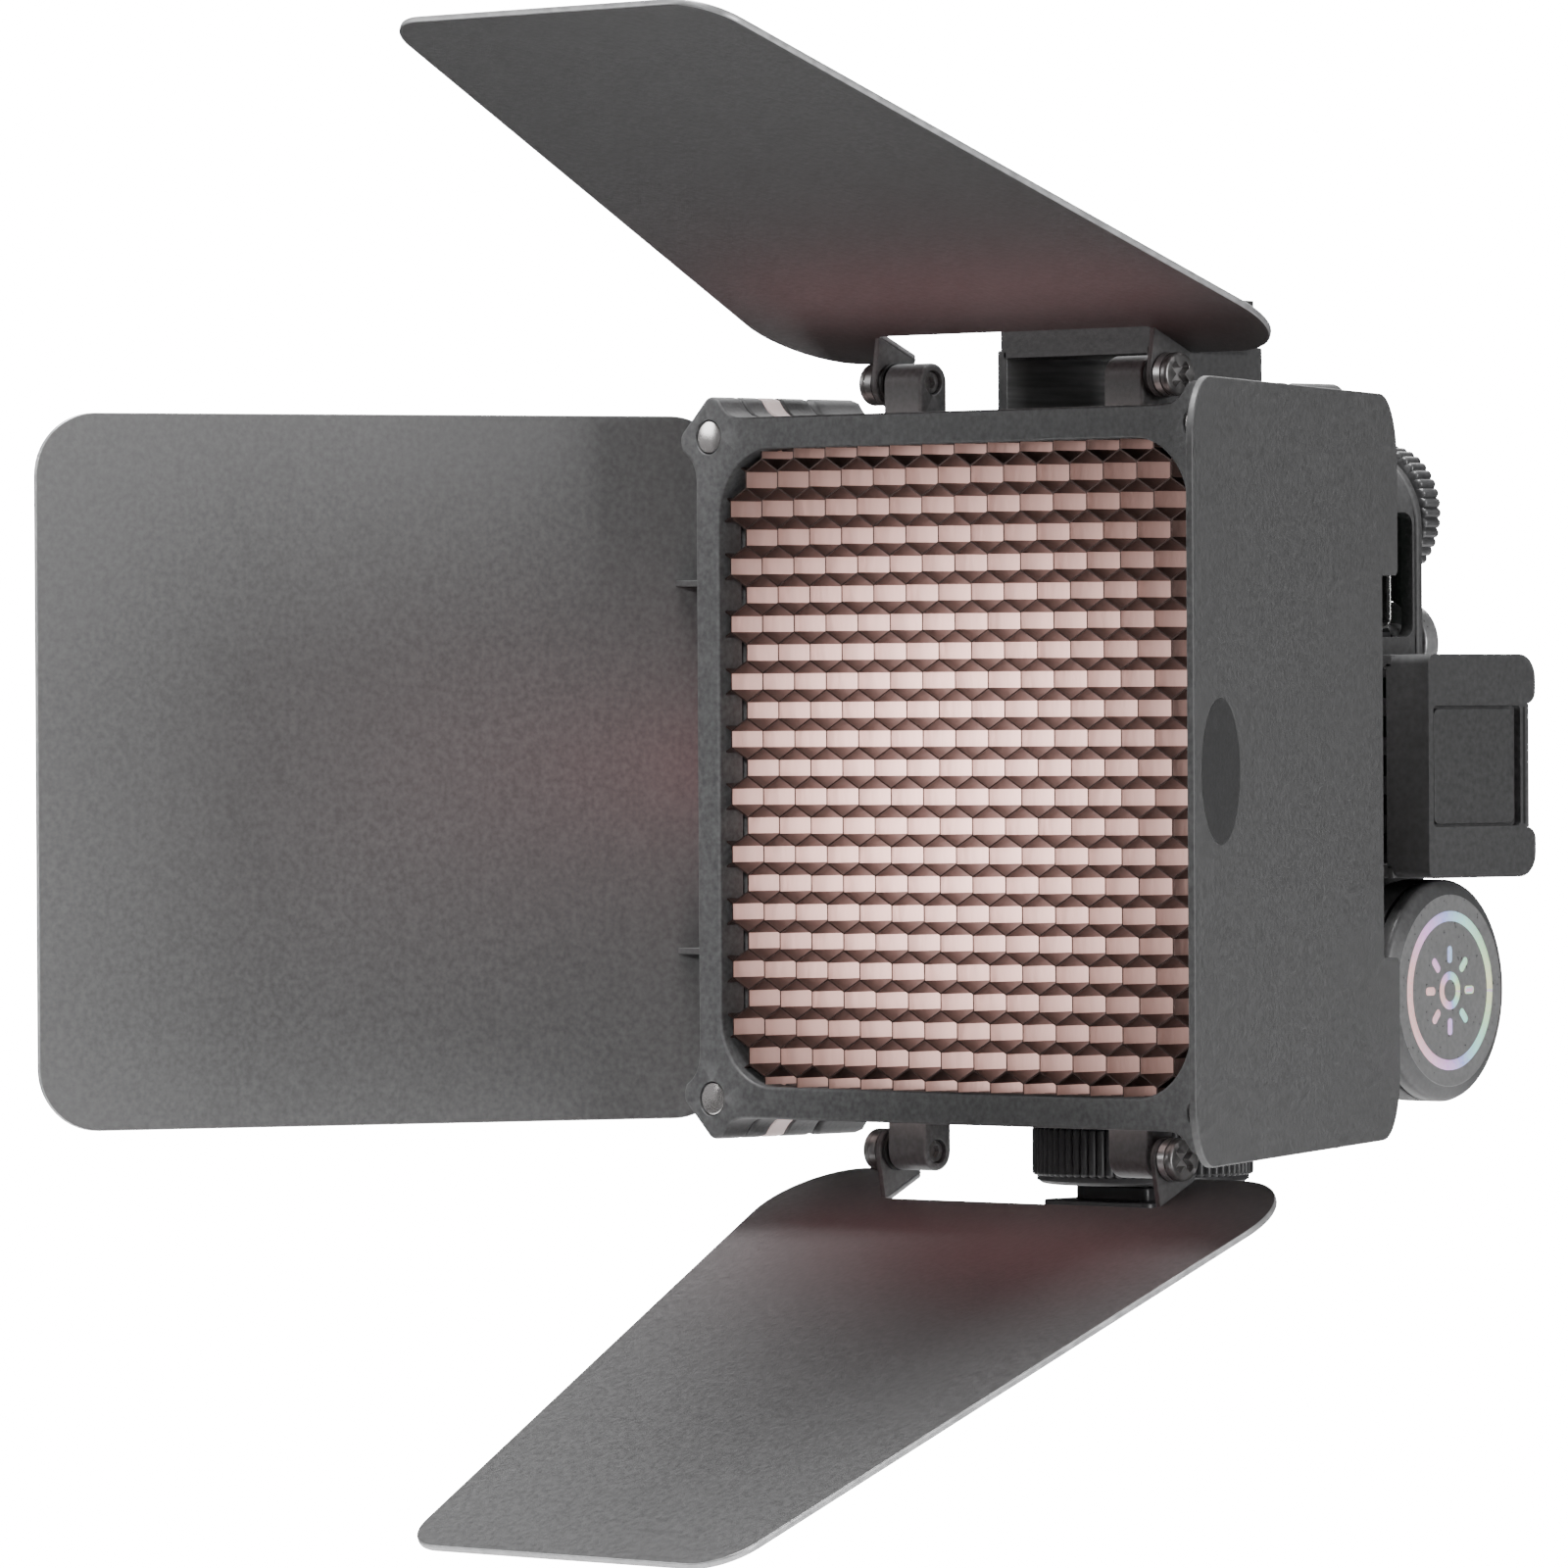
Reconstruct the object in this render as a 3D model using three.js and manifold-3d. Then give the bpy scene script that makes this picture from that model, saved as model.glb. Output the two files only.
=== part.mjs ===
// Square LED panel light with a honeycomb grid and four barn doors, on a cold-shoe foot.
//
// Millimetres. +Z is up, -Y is the way the light shines, +X is to the right seen from the front.
// The origin is the centre of the underside of the shoe foot. Inside the group the light has axes
// of its own: Y = 0 is the front face of the grid frame, and X = 0, Z = 0 is the middle of it.

import * as THREE from 'three';
import { mergeVertices } from 'three/addons/utils/BufferGeometryUtils.js';
import Module from 'manifold-3d';

const wasm = await Module();
wasm.setup();

// ---------------------------------------------------------------- driving dimensions

const GAP = 0.3;                       // clearance between pieces that touch
const FRAME = 45;                      // half the side of the square frames
const EAR = 48;                        // half size over the corner ears
const BORDER = 4.1;                    // width of the frame's border
const OPENING = FRAME - BORDER;        // half the light opening
const OPENING_R = 9;                   // its corner radius
const MAGNET_AT = 42.6;                // magnets sit in the ears
const MAGNET_R = 2;

// the stack from the front, each slice as [front, back]
const GRID_FRONT = [0, 4.5];
const GRID_REAR = [4.8, 8.3];
const DIFFUSER = [8.6, 11.5];
const RING = [11.8, 16.8];
const BEZEL = [17.1, 26.7];
const HOUSING = [27, 43.5];
const COVER = [43.8, 45.2];

const CELL_PITCH = 11.4;               // honeycomb cell, flat to flat, in X
const CELL_ROW = 7.4;                  // rise from one row of cells to the next
const CELL_SLANT = 3.06;               // rise of a slanted cell wall
const CELL_WALL = 0.7;

const HINGE_Y = 14.3;                  // hinge axes, at half the ring's depth
const HINGE_TOP = 49.2;                // height of the upper and lower hinge axes off the middle
const HINGE_SIDE = 54.9;               // distance of the left and right hinge axes off the middle
const LUG = [16, 22.6];                // lug, along the hinge axis
const LUG_R = 2.5;
const WASHER = [22.8, 23.4];
const FLAP = [23.6, 24.4];             // bent ear of a door
const FLAP_R = 2.9;
const HEAD = [24.6, 26.9];             // screw head
const HEAD_R = 2.75;
const SHANK_R = 1.4;
const SHANK_HOLE_R = SHANK_R + GAP;

const SHEET = 0.9;                     // door sheet thickness
const SHEET_OFF = 4.95;                // middle of the sheet, off its hinge axis
const DOOR_TAIL = 3.3;                 // sheet behind the hinge axis
// notch is the depth of the cut between a door's flaps
const TALL_DOOR = { length: 98.7, tail: 45.4, tip: 27.9, tailR: 10.8, tipR: 7.2, notch: 7.8 };
const RIGHT_DOOR = { length: 96.3, tail: 45.9, tip: 45.9, tailR: 8.1, tipR: 8.1, notch: 7.8 };
const LEFT_DOOR = { ...RIGHT_DOOR, notch: 4.4 };
const OPEN_TOP = 24;                   // rest angles, outwards from straight ahead, in degrees
const OPEN_BOTTOM = 26;
const OPEN_RIGHT = 27.3;
const OPEN_LEFT = 21.5;

const BODY = 40;                       // half the side of the housing
const BODY_R = 9.9;
const WALL = 2;

const BRACKET_OUT = 59.4;              // outer face of an accessory bracket, off the middle
const BRACKET_PLATE = 7;
const BRACKET_HALF = 13.9;
const BRACKET_LEG = 1.7;
const BRACKET_Y = [23.9, 44.1];

const DIAL = { x: 31.3, z: 31.9, r: 8.75, y: [45.6, 48.8] };
const BUTTON = { x: 34.2, z: 15.4, r: 5.3, y: [46.1, 50.6] };
const SIDE_KNOB = { x: 51.6, y: 35.1, z: -28.1, r: 13.9, tilt: 9, shaft: 2.5 };

const LENS = [18.2, 19.8];
const LED_BOARD = { base: [24.6, 26.2], chips: [23.8, 25], pitch: 17, chip: 1.8 };
const SINK = { half: 34, base: [27.3, 29.3], fins: [29, 32.6], pitch: 4, fin: 0.6 };
const MAIN_BOARD = { x: [-30, 36.4], y: [41.2, 42.6], z: [3, 34] };
const BATTERY = { x: [-34, -1], y: [33, 42.6], z: [-32, 0] };
const FAN = { x: 17, z: -16, half: 14.5, y: [34, 41], hub: 5.5, blades: 7 };
const PORT = { x: [32, 39.2], y: [36.8, 40], z: [17.2, 26.2] };
const SWITCH = { x: [36.4, 39], y: [36.8, 40.6], z: [27, 31] };
const WINDOW = { y: [34, 42.4], z: [16.2, 31.5] };
const DISPLAY = { x: [-26, 2], y: [44.7, 46], z: [12, 28] };

const MOUNT_Y = 35.6;                  // mount axis, behind the grid frame's face
const WHEEL = { r: 14.2, z: [-53.5, -46.1] };
const NECK = 12.5;                     // cold-shoe foot, ISO 518
const FOOT = 18.6;
const FOOT_Z = [-57.4, -55.5];
const STUD_R = 3;

// ---------------------------------------------------------------- solids

const turn = (degrees) => THREE.MathUtils.degToRad(degrees);

// Six times the volume inside a closed surface; it is negative where the faces point inwards.
function signedVolume(position, index) {
  const [a, b, c] = [new THREE.Vector3(), new THREE.Vector3(), new THREE.Vector3()];
  let total = 0;
  for (let i = 0; i < index.length; i += 3) {
    a.fromBufferAttribute(position, index[i]);
    b.fromBufferAttribute(position, index[i + 1]);
    c.fromBufferAttribute(position, index[i + 2]);
    total += a.dot(b.cross(c));
  }
  return total;
}

// A closed geometry as a manifold with its faces pointing out, so that pieces can be joined and cut.
function solid(geometry) {
  geometry.deleteAttribute('normal');
  geometry.deleteAttribute('uv');
  const merged = mergeVertices(geometry, 1e-4);
  const triVerts = Uint32Array.from(merged.index.array);
  if (signedVolume(merged.attributes.position, triVerts) < 0) triVerts.reverse();
  const vertProperties = Float32Array.from(merged.attributes.position.array);
  return new wasm.Manifold(new wasm.Mesh({ numProp: 3, vertProperties, triVerts }));
}

const join = (first, ...others) => others.reduce((whole, next) => whole.add(next), first);
const cut = (first, ...others) => others.reduce((whole, next) => whole.subtract(next), first);

// A box between two limits on each axis.
function box([x0, x1], [y0, y1], [z0, z1]) {
  const geometry = new THREE.BoxGeometry(x1 - x0, y1 - y0, z1 - z0);
  return solid(geometry.translate((x0 + x1) / 2, (y0 + y1) / 2, (z0 + z1) / 2));
}

// A cylinder along an axis, from one limit to the other, centred on two other coordinates.
function rod(axis, [from, to], radius, [u, v], sides = 12) {
  const geometry = new THREE.CylinderGeometry(radius, radius, to - from, sides);
  const middle = (from + to) / 2;
  if (axis === 'x') geometry.rotateZ(Math.PI / 2).translate(middle, u, v);
  if (axis === 'y') geometry.translate(u, middle, v);
  if (axis === 'z') geometry.rotateX(Math.PI / 2).translate(u, v, middle);
  return solid(geometry);
}

// A polygon with its corners rounded; each point is [x, y, radius].
function rounded(points) {
  const corners = points.map(([x, y, r = 0]) => ({ at: new THREE.Vector2(x, y), r }));
  const shape = new THREE.Shape();
  corners.forEach(({ at, r }, i) => {
    const before = corners[(i + corners.length - 1) % corners.length].at;
    const after = corners[(i + 1) % corners.length].at;
    const back = before.clone().sub(at).normalize();
    const on = after.clone().sub(at).normalize();
    const half = Math.acos(THREE.MathUtils.clamp(back.dot(on), -1, 1)) / 2;
    const reach = r / Math.tan(half);
    const start = at.clone().addScaledVector(back, reach);
    const end = at.clone().addScaledVector(on, reach);
    if (i === 0) shape.moveTo(start.x, start.y);
    else shape.lineTo(start.x, start.y);
    if (r > 0) {
      const centre = at.clone().addScaledVector(back.add(on).normalize(), r / Math.sin(half));
      const a0 = Math.atan2(start.y - centre.y, start.x - centre.x);
      const a1 = Math.atan2(end.y - centre.y, end.x - centre.x);
      const clockwise = Math.sin(a1 - a0) < 0;
      shape.absarc(centre.x, centre.y, r, a0, a1, clockwise);
    }
  });
  shape.closePath();
  return shape;
}

// A rectangle between two limits on each axis, with its corners rounded.
function roundedBox([x0, x1], [y0, y1], radius) {
  return rounded([[x0, y0, radius], [x1, y0, radius], [x1, y1, radius], [x0, y1, radius]]);
}

function roundedSquare(half, radius) {
  return roundedBox([-half, half], [-half, half], radius);
}

// A shape drawn in X and Z, given thickness from one Y to another.
function slab(shape, [y0, y1], curveSegments = 4) {
  const geometry = new THREE.ExtrudeGeometry(shape, { depth: y1 - y0, bevelEnabled: false, curveSegments });
  return solid(geometry.rotateX(Math.PI / 2).translate(0, y1, 0));
}

// A shape drawn in Y and Z, given thickness from one X to another.
function plate(shape, [x0, x1], curveSegments = 3) {
  const geometry = new THREE.ExtrudeGeometry(shape, { depth: x1 - x0, bevelEnabled: false, curveSegments });
  geometry.rotateX(Math.PI / 2).rotateZ(Math.PI / 2);
  return solid(geometry.translate(x0, 0, 0));
}

// A body of revolution about Y: the profile is a list of [radius, y].
function turned(profile, sides = 32) {
  const points = profile.map(([r, y]) => new THREE.Vector2(r, y));
  return solid(new THREE.LatheGeometry(points, sides));
}

// ---------------------------------------------------------------- the assembly

const light = new THREE.Group();
light.position.set(0, -MOUNT_Y, -FOOT_Z[0]);

const FINISH = {
  painted: { color: 0x4a4a4b, roughness: 0.62, metalness: 0.3 },
  sheet: { color: 0x565657, roughness: 0.55, metalness: 0.35 },
  black: { color: 0x161617, roughness: 0.45, metalness: 0.2 },
  screw: { color: 0x2c2c2e, roughness: 0.25, metalness: 0.9 },
  steel: { color: 0xc4c2c0, roughness: 0.25, metalness: 1 },
  magnet: { color: 0xf0e8e8, roughness: 0.3, metalness: 0.6 },
  copper: { color: 0xb98a7c, roughness: 0.35, metalness: 0.85 },
  opal: { color: 0xf1dcd9, roughness: 0.5, metalness: 0 },
  clear: { color: 0xe8e8ec, roughness: 0.15, metalness: 0 },
  board: { color: 0xe9e6df, roughness: 0.5, metalness: 0.1 },
  green: { color: 0x24543a, roughness: 0.5, metalness: 0.1 },
  satin: { color: 0xa9a9ab, roughness: 0.3, metalness: 0.6 },
  wrap: { color: 0x4a6a8c, roughness: 0.4, metalness: 0 },
};

// Adds a piece to a group as a mesh with a material of its own.
function piece(name, manifold, finish, parent = light) {
  const { vertProperties, triVerts } = manifold.getMesh();
  const geometry = new THREE.BufferGeometry();
  geometry.setAttribute('position', new THREE.BufferAttribute(vertProperties, 3));
  geometry.setIndex(new THREE.BufferAttribute(triVerts, 1));
  const mesh = new THREE.Mesh(geometry, new THREE.MeshStandardMaterial(FINISH[finish]));
  mesh.name = name;
  parent.add(mesh);
  return mesh;
}

// ---------------------------------------------------------------- square frames with corner ears

// The outline shared by every frame of the stack: a square whose corners swell into bevelled ears.
function earedOutline() {
  const swell = new THREE.CubicBezierCurve(
    new THREE.Vector2(FRAME, 36.4),
    new THREE.Vector2(FRAME, 39.1),
    new THREE.Vector2(FRAME + 1, 40),
    new THREE.Vector2(EAR, 41.6),
  );
  const rise = [...swell.getPoints(5), new THREE.Vector2(EAR, 42.6)];
  const fall = rise.map(({ x, y }) => new THREE.Vector2(y, x)).reverse();
  const corner = [...rise, ...fall];
  const centre = new THREE.Vector2(0, 0);
  const outline = [];
  for (let quarter = 0; quarter < 4; quarter += 1) {
    outline.push(...corner.map((point) => point.clone().rotateAround(centre, (quarter * Math.PI) / 2)));
  }
  return new THREE.Shape(outline);
}

const squareHole = (half, radius, [y0, y1]) => slab(roundedSquare(half, radius), [y0, y1]);

function earedFrame(slice, half, radius) {
  return cut(slab(earedOutline(), slice), squareHole(half, radius, [slice[0] - 1, slice[1] + 1]));
}

const EARS = [[1, 1], [-1, 1], [-1, -1], [1, -1]];

// The grid is a thin core of cells held between a front frame and a rear frame.
const CORE = [1.3, 7.3];
const POCKET = OPENING + 1.6;
const POCKET_R = OPENING_R + 1.2;

const magnetHoles = EARS.map(([sx, sz]) => (
  rod('y', [-1, 2.8], MAGNET_R + 0.15, [sx * MAGNET_AT, sz * MAGNET_AT])
));
const gridFront = cut(
  earedFrame(GRID_FRONT, OPENING, OPENING_R),
  squareHole(POCKET, POCKET_R, [1, GRID_FRONT[1] + 1]),
  ...magnetHoles,
);
piece('grid_frame', gridFront, 'painted');

const gridRear = cut(
  earedFrame(GRID_REAR, OPENING, OPENING_R),
  squareHole(POCKET, POCKET_R, [GRID_REAR[0] - 1, CORE[1] + GAP]),
);
piece('grid_rear_frame', gridRear, 'painted');

EARS.forEach(([sx, sz], i) => {
  piece(`grid_magnet_${i + 1}`, rod('y', [0.1, 2.5], MAGNET_R, [sx * MAGNET_AT, sz * MAGNET_AT]), 'magnet');
});

// Hexagonal cells with upright side walls, cut through a plate as far as its thin outer rim.
function honeycomb() {
  const half = POCKET - GAP;
  const halfWidth = (CELL_PITCH - CELL_WALL) / 2;
  const halfWall = (CELL_ROW - CELL_SLANT) / 2;
  const tip = halfWall + CELL_SLANT - CELL_WALL / 2;
  const cells = [];
  for (let row = -6; row <= 6; row += 1) {
    const shift = row % 2 === 0 ? 0 : CELL_PITCH / 2;
    for (let column = -4; column <= 4; column += 1) {
      const x = column * CELL_PITCH + shift;
      const z = row * CELL_ROW;
      cells.push(new THREE.Shape([
        new THREE.Vector2(x + halfWidth, z - halfWall),
        new THREE.Vector2(x + halfWidth, z + halfWall),
        new THREE.Vector2(x, z + tip),
        new THREE.Vector2(x - halfWidth, z + halfWall),
        new THREE.Vector2(x - halfWidth, z - halfWall),
        new THREE.Vector2(x, z - tip),
      ]));
    }
  }
  const through = [CORE[0] - 1, CORE[1] + 1];
  const within = squareHole(half - CELL_WALL, POCKET_R - CELL_WALL, through);
  return cut(squareHole(half, POCKET_R, CORE), slab(cells, through).intersect(within));
}
piece('honeycomb_core', honeycomb(), 'copper');

piece('diffuser_panel', slab(earedOutline(), DIFFUSER), 'opal');

// ---------------------------------------------------------------- barn-door ring and hinges

// One pair of hinge lugs on the upper side, reaching out to a hinge axis.
function lugPair(reach) {
  return [-1, 1].map((side) => {
    const across = LUG.map((x) => side * x).sort((a, b) => a - b);
    const stem = box(across, [HINGE_Y - LUG_R, HINGE_Y + LUG_R], [FRAME - 1, reach]);
    const eye = rod('x', across, LUG_R, [HINGE_Y, reach]);
    const bore = rod('x', [across[0] - 1, across[1] + 1], SHANK_HOLE_R, [HINGE_Y, reach], 8);
    return cut(join(stem, eye), bore);
  });
}

// The four sides, as turns about Y that bring the upper side to each.
const SIDES = [
  { name: 'top', roll: 0, reach: HINGE_TOP, door: TALL_DOOR, open: OPEN_TOP },
  { name: 'right', roll: 90, reach: HINGE_SIDE, door: RIGHT_DOOR, open: OPEN_RIGHT },
  { name: 'bottom', roll: 180, reach: HINGE_TOP, door: TALL_DOOR, open: OPEN_BOTTOM },
  { name: 'left', roll: 270, reach: HINGE_SIDE, door: LEFT_DOOR, open: OPEN_LEFT },
];

const ringLugs = SIDES.flatMap(({ roll, reach }) => lugPair(reach).map((lug) => lug.rotate([0, roll, 0])));
piece('barndoor_ring', join(earedFrame(RING, OPENING, OPENING_R), ...ringLugs), 'painted');

// A pan-head screw along X with a cross recess, its head on the outer side.
function hingeScrew() {
  const [inner, outer] = HEAD;
  const head = solid(new THREE.LatheGeometry([
    new THREE.Vector2(0, inner),
    new THREE.Vector2(HEAD_R, inner),
    new THREE.Vector2(HEAD_R, outer - 0.9),
    new THREE.Vector2(HEAD_R - 0.9, outer),
    new THREE.Vector2(0, outer),
  ], 12).rotateZ(-Math.PI / 2));
  const slots = [45, -45].map((angle) => (
    box([outer - 1.3, outer + 1], [-1.75, 1.75], [-0.45, 0.45]).rotate([angle, 0, 0])
  ));
  return cut(join(head, rod('x', [LUG[0] + 0.5, inner + 0.1], SHANK_R, [0, 0], 8)), ...slots);
}

function hingeWasher() {
  return cut(rod('x', WASHER, HEAD_R - 0.1, [0, 0]), rod('x', [0, 30], SHANK_HOLE_R, [0, 0], 8));
}

// A bent ear of a door: it hangs from the sheet and ends in an eye on the hinge axis.
function flap(across) {
  const eye = rod('x', across, FLAP_R, [0, 0]);
  const web = rounded([[-4.4, SHEET_OFF], [-FLAP_R, 0.4], [FLAP_R, 0.4], [DOOR_TAIL - 0.3, SHEET_OFF]]);
  const bore = rod('x', [across[0] - 1, across[1] + 1], SHANK_HOLE_R, [0, 0], 8);
  return cut(join(eye, plate(web, across)), bore);
}

// A door lying straight ahead, its hinge axis along X through the origin.
function doorLeaf({ length, tail, tip, tailR, tipR, notch }) {
  const back = DOOR_TAIL;
  const front = back - length;
  const inner = FLAP[0];
  const outline = rounded([
    [-tip, -front, tipR],
    [-tail, -back, tailR],
    [-inner, -back, 1],
    [-inner, -back + notch, 0.6],
    [inner, -back + notch, 0.6],
    [inner, -back, 1],
    [tail, -back, tailR],
    [tip, -front, tipR],
  ]);
  const thick = { depth: SHEET, bevelEnabled: false, curveSegments: 4 };
  const geometry = new THREE.ExtrudeGeometry(outline, thick);
  const sheet = solid(geometry.rotateX(Math.PI).translate(0, 0, SHEET_OFF + SHEET / 2));
  return join(sheet, flap(FLAP), flap([-FLAP[1], -FLAP[0]]));
}

for (const { name, roll, reach, door, open } of SIDES) {
  const side = new THREE.Group();
  side.rotation.y = turn(roll);
  light.add(side);
  const hinge = new THREE.Group();
  hinge.position.set(0, HINGE_Y, reach);
  side.add(hinge);

  const leaf = new THREE.Group();
  leaf.rotation.x = turn(-open);
  hinge.add(leaf);
  piece(`door_${name}`, doorLeaf(door), 'sheet', leaf);

  [1, -1].forEach((end, i) => {
    const flip = new THREE.Group();
    flip.rotation.z = end > 0 ? 0 : Math.PI;
    hinge.add(flip);
    piece(`hinge_screw_${name}_${i + 1}`, hingeScrew(), 'screw', flip);
    piece(`hinge_washer_${name}_${i + 1}`, hingeWasher(), 'black', flip);
  });
}

// ---------------------------------------------------------------- bezel and light engine

const BEZEL_HOLE = 37.6;
piece('front_bezel', earedFrame(BEZEL, BEZEL_HOLE, 6), 'painted');
piece('front_lens', slab(roundedSquare(BEZEL_HOLE - GAP, 5.7), LENS), 'clear');

// The board of light chips: a plate with a square array of raised emitters.
function ledBoard() {
  const { base, chips: depth, pitch, chip } = LED_BOARD;
  const board = slab(roundedSquare(BEZEL_HOLE - 1, 5), base);
  const chips = [];
  for (let row = -1.5; row <= 1.5; row += 1) {
    for (let column = -1.5; column <= 1.5; column += 1) {
      const x = column * pitch;
      const z = row * pitch;
      chips.push(box([x - chip, x + chip], depth, [z - chip, z + chip]));
    }
  }
  return join(board, ...chips);
}
piece('led_board', ledBoard(), 'board');

function heatSink() {
  const across = [-SINK.half, SINK.half];
  const fins = [];
  for (let step = -8; step <= 8; step += 1) {
    const x = step * SINK.pitch;
    fins.push(box([x - SINK.fin, x + SINK.fin], SINK.fins, across));
  }
  return join(box(across, SINK.base, across), ...fins);
}
piece('heat_sink', heatSink(), 'steel');

// ---------------------------------------------------------------- housing

const SCREW_AT = [[-35, 35], [-35, -35], [35, -35], [8, 36]];
const COVER_HOLE_R = 1.3;

// Cooling slots through one wall, stacked across it; the wall is the right one before the turn.
function louvres(turns) {
  return [-2, -1, 0, 1, 2].map((step) => {
    const z = step * 4.9;
    return box([BODY - 5, BODY + 3], [29.5, 41.5], [z - 1.3, z + 1.3]).rotate([0, turns * 90, 0]);
  });
}

function housing() {
  const shell = cut(
    squareHole(BODY, BODY_R, HOUSING),
    squareHole(BODY - WALL, BODY_R - WALL, [HOUSING[0] - 1, HOUSING[1] + 1]),
  );
  const posts = SCREW_AT.map(([x, z]) => rod('y', [33.5, HOUSING[1]], 2.6, [x, z], 8));
  const postHoles = SCREW_AT.map(([x, z]) => rod('y', [35.5, HOUSING[1] + 1], COVER_HOLE_R, [x, z], 8));
  const boss = rod('z', [-45.8, -BODY + 1], 8, [0, MOUNT_Y], 20);
  const bossHole = rod('z', [-47, -BODY + 0.5], 3.3, [0, MOUNT_Y], 12);
  const window = plate(roundedBox(WINDOW.y, WINDOW.z, 1.5), [BODY - 4, BODY + 2], 2);
  return cut(
    join(shell, ...posts, boss, knobBoss()),
    ...postHoles,
    bossHole,
    window,
    ...louvres(0),
    ...louvres(-1),
    ...louvres(2),
  );
}

// The stub that carries the side knob. Its end is cut square to the knob's tilted axis and bored.
function knobBoss() {
  const { x, y, z, r, tilt, shaft } = SIDE_KNOB;
  const neck = rod('x', [BODY - 1, 46.4], 7.4, [y, z], 20);
  const barrel = rod('x', [45.6, x + 6], r, [y, z], 28);
  const end = box([-2.1, 20], [-30, 30], [-30, 30]);
  const bore = rod('x', [-9, 0], shaft + GAP, [0, 0]);
  return cut(join(neck, barrel), join(end, bore).rotate([0, 0, tilt]).translate([x, y, z]));
}
piece('rear_housing', housing(), 'painted');

const DIAL_SHAFT_R = 3;
const STEM_R = 2.6;
const cover = cut(
  squareHole(BODY, BODY_R, COVER),
  ...SCREW_AT.map(([x, z]) => rod('y', [40, 50], COVER_HOLE_R, [x, z], 8)),
  rod('y', [40, 50], DIAL_SHAFT_R + GAP, [DIAL.x, DIAL.z]),
  rod('y', [40, 50], STEM_R + GAP, [BUTTON.x, BUTTON.z]),
  box(DISPLAY.x, DISPLAY.y, DISPLAY.z),
);
piece('rear_cover', cover, 'painted');

const inset = ([low, high]) => [low + GAP, high - GAP];
piece('display_window', box(inset(DISPLAY.x), inset(DISPLAY.y), inset(DISPLAY.z)), 'black');

SCREW_AT.forEach(([x, z], i) => {
  const head = turned([[0, 45.4], [2, 45.4], [2, 45.9], [1.4, 46.4], [0, 46.4]], 8).translate([x, 0, z]);
  piece(`cover_screw_${i + 1}`, join(head, rod('y', [36.5, 45.6], 1, [x, z], 6)), 'screw');
});

// ---------------------------------------------------------------- accessory brackets

// A bridge that stands over the cooling slots of the right wall: a thick outer plate on two legs.
function bracket() {
  const [y0, y1] = BRACKET_Y;
  const h = BRACKET_HALF;
  const lobe = 7.7;
  const outline = rounded([
    [y0, -h, 1.2], [y1, -h, 3], [y1, -lobe, 1.6], [y1 - 1.3, -lobe, 0],
    [y1 - 1.3, lobe, 0], [y1, lobe, 1.6], [y1, h, 3], [y0, h, 1.2],
  ]);
  const inner = BRACKET_OUT - BRACKET_PLATE;
  const top = plate(outline, [inner, BRACKET_OUT]);
  const clear = HOUSING[0];
  const foot = BODY + 0.25;
  const legs = [-1, 1].map((side) => {
    const across = [side * (h - BRACKET_LEG), side * h].sort((a, b) => a - b);
    return join(
      box([FRAME + 0.4, inner + 1], [y0, y1 - 0.2], across),
      box([foot, FRAME + 1], [clear, y1 - 0.2], across),
    );
  });
  const recess = box([BRACKET_OUT - 1, BRACKET_OUT + 1], [y0 + 0.9, y0 + 17.3], [-7.5, 7.5]);
  return cut(join(top, ...legs), recess);
}
piece('side_bracket', bracket(), 'painted');
piece('top_bracket', bracket().rotate([0, -90, 0]), 'painted');

// ---------------------------------------------------------------- controls

// A round grip with flutes, about Y, from one limit to the other.
function fluted(radius, depth, count, [y0, y1]) {
  const points = [];
  for (let i = 0; i < count * 2; i += 1) {
    const angle = (i / (count * 2)) * Math.PI * 2;
    const r = i % 2 === 0 ? radius : radius - depth;
    points.push(new THREE.Vector2(r * Math.cos(angle), r * Math.sin(angle)));
  }
  return slab(new THREE.Shape(points), [y0, y1]);
}

const dial = new THREE.Group();
dial.position.set(DIAL.x, 0, DIAL.z);
light.add(dial);
piece('dial_knob', join(
  fluted(DIAL.r, 0.45, 20, DIAL.y),
  rod('y', [41.2, DIAL.y[0] + 0.1], DIAL_SHAFT_R, [0, 0]),
), 'black', dial);
piece('dial_encoder', rod('y', [35.4, 40.9], 4.8, [0, 0], 16), 'steel', dial);

const button = new THREE.Group();
button.position.set(BUTTON.x, 0, BUTTON.z);
light.add(button);
const [capBack, capFront] = BUTTON.y;
const buttonCap = turned([
  [0, capBack], [BUTTON.r, capBack], [BUTTON.r, capBack + 2.4], [BUTTON.r - 0.5, capBack + 3.2],
  [BUTTON.r - 1.8, capBack + 3.9], [BUTTON.r - 3.5, capFront - 0.2], [0, capFront],
], 20);
piece('push_button', join(buttonCap, rod('y', [42.9, capBack + 0.1], STEM_R, [0, 0])), 'satin', button);
piece('button_switch', box([-3, 3], [38, 42], [-3.4, 1.4]), 'black', button);

// The side knob: a flat disc with a chamfered rim on a short shaft, its axis leaning towards the back.
const sideKnob = new THREE.Group();
sideKnob.position.set(SIDE_KNOB.x, SIDE_KNOB.y, SIDE_KNOB.z);
sideKnob.rotation.z = turn(SIDE_KNOB.tilt - 90);
light.add(sideKnob);
function knobDisc() {
  const r = SIDE_KNOB.r;
  const disc = turned([
    [0, -1.8], [r - 0.5, -1.8], [r, -1.3], [r, 0.1], [r - 0.4, 0.5], [r - 1.9, 1.1], [0, 1.1],
  ], 32);
  return join(disc, rod('y', [-8.5, -1.7], SIDE_KNOB.shaft, [0, 0]));
}
piece('side_knob', knobDisc(), 'satin', sideKnob);

// ---------------------------------------------------------------- inside the housing

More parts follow.
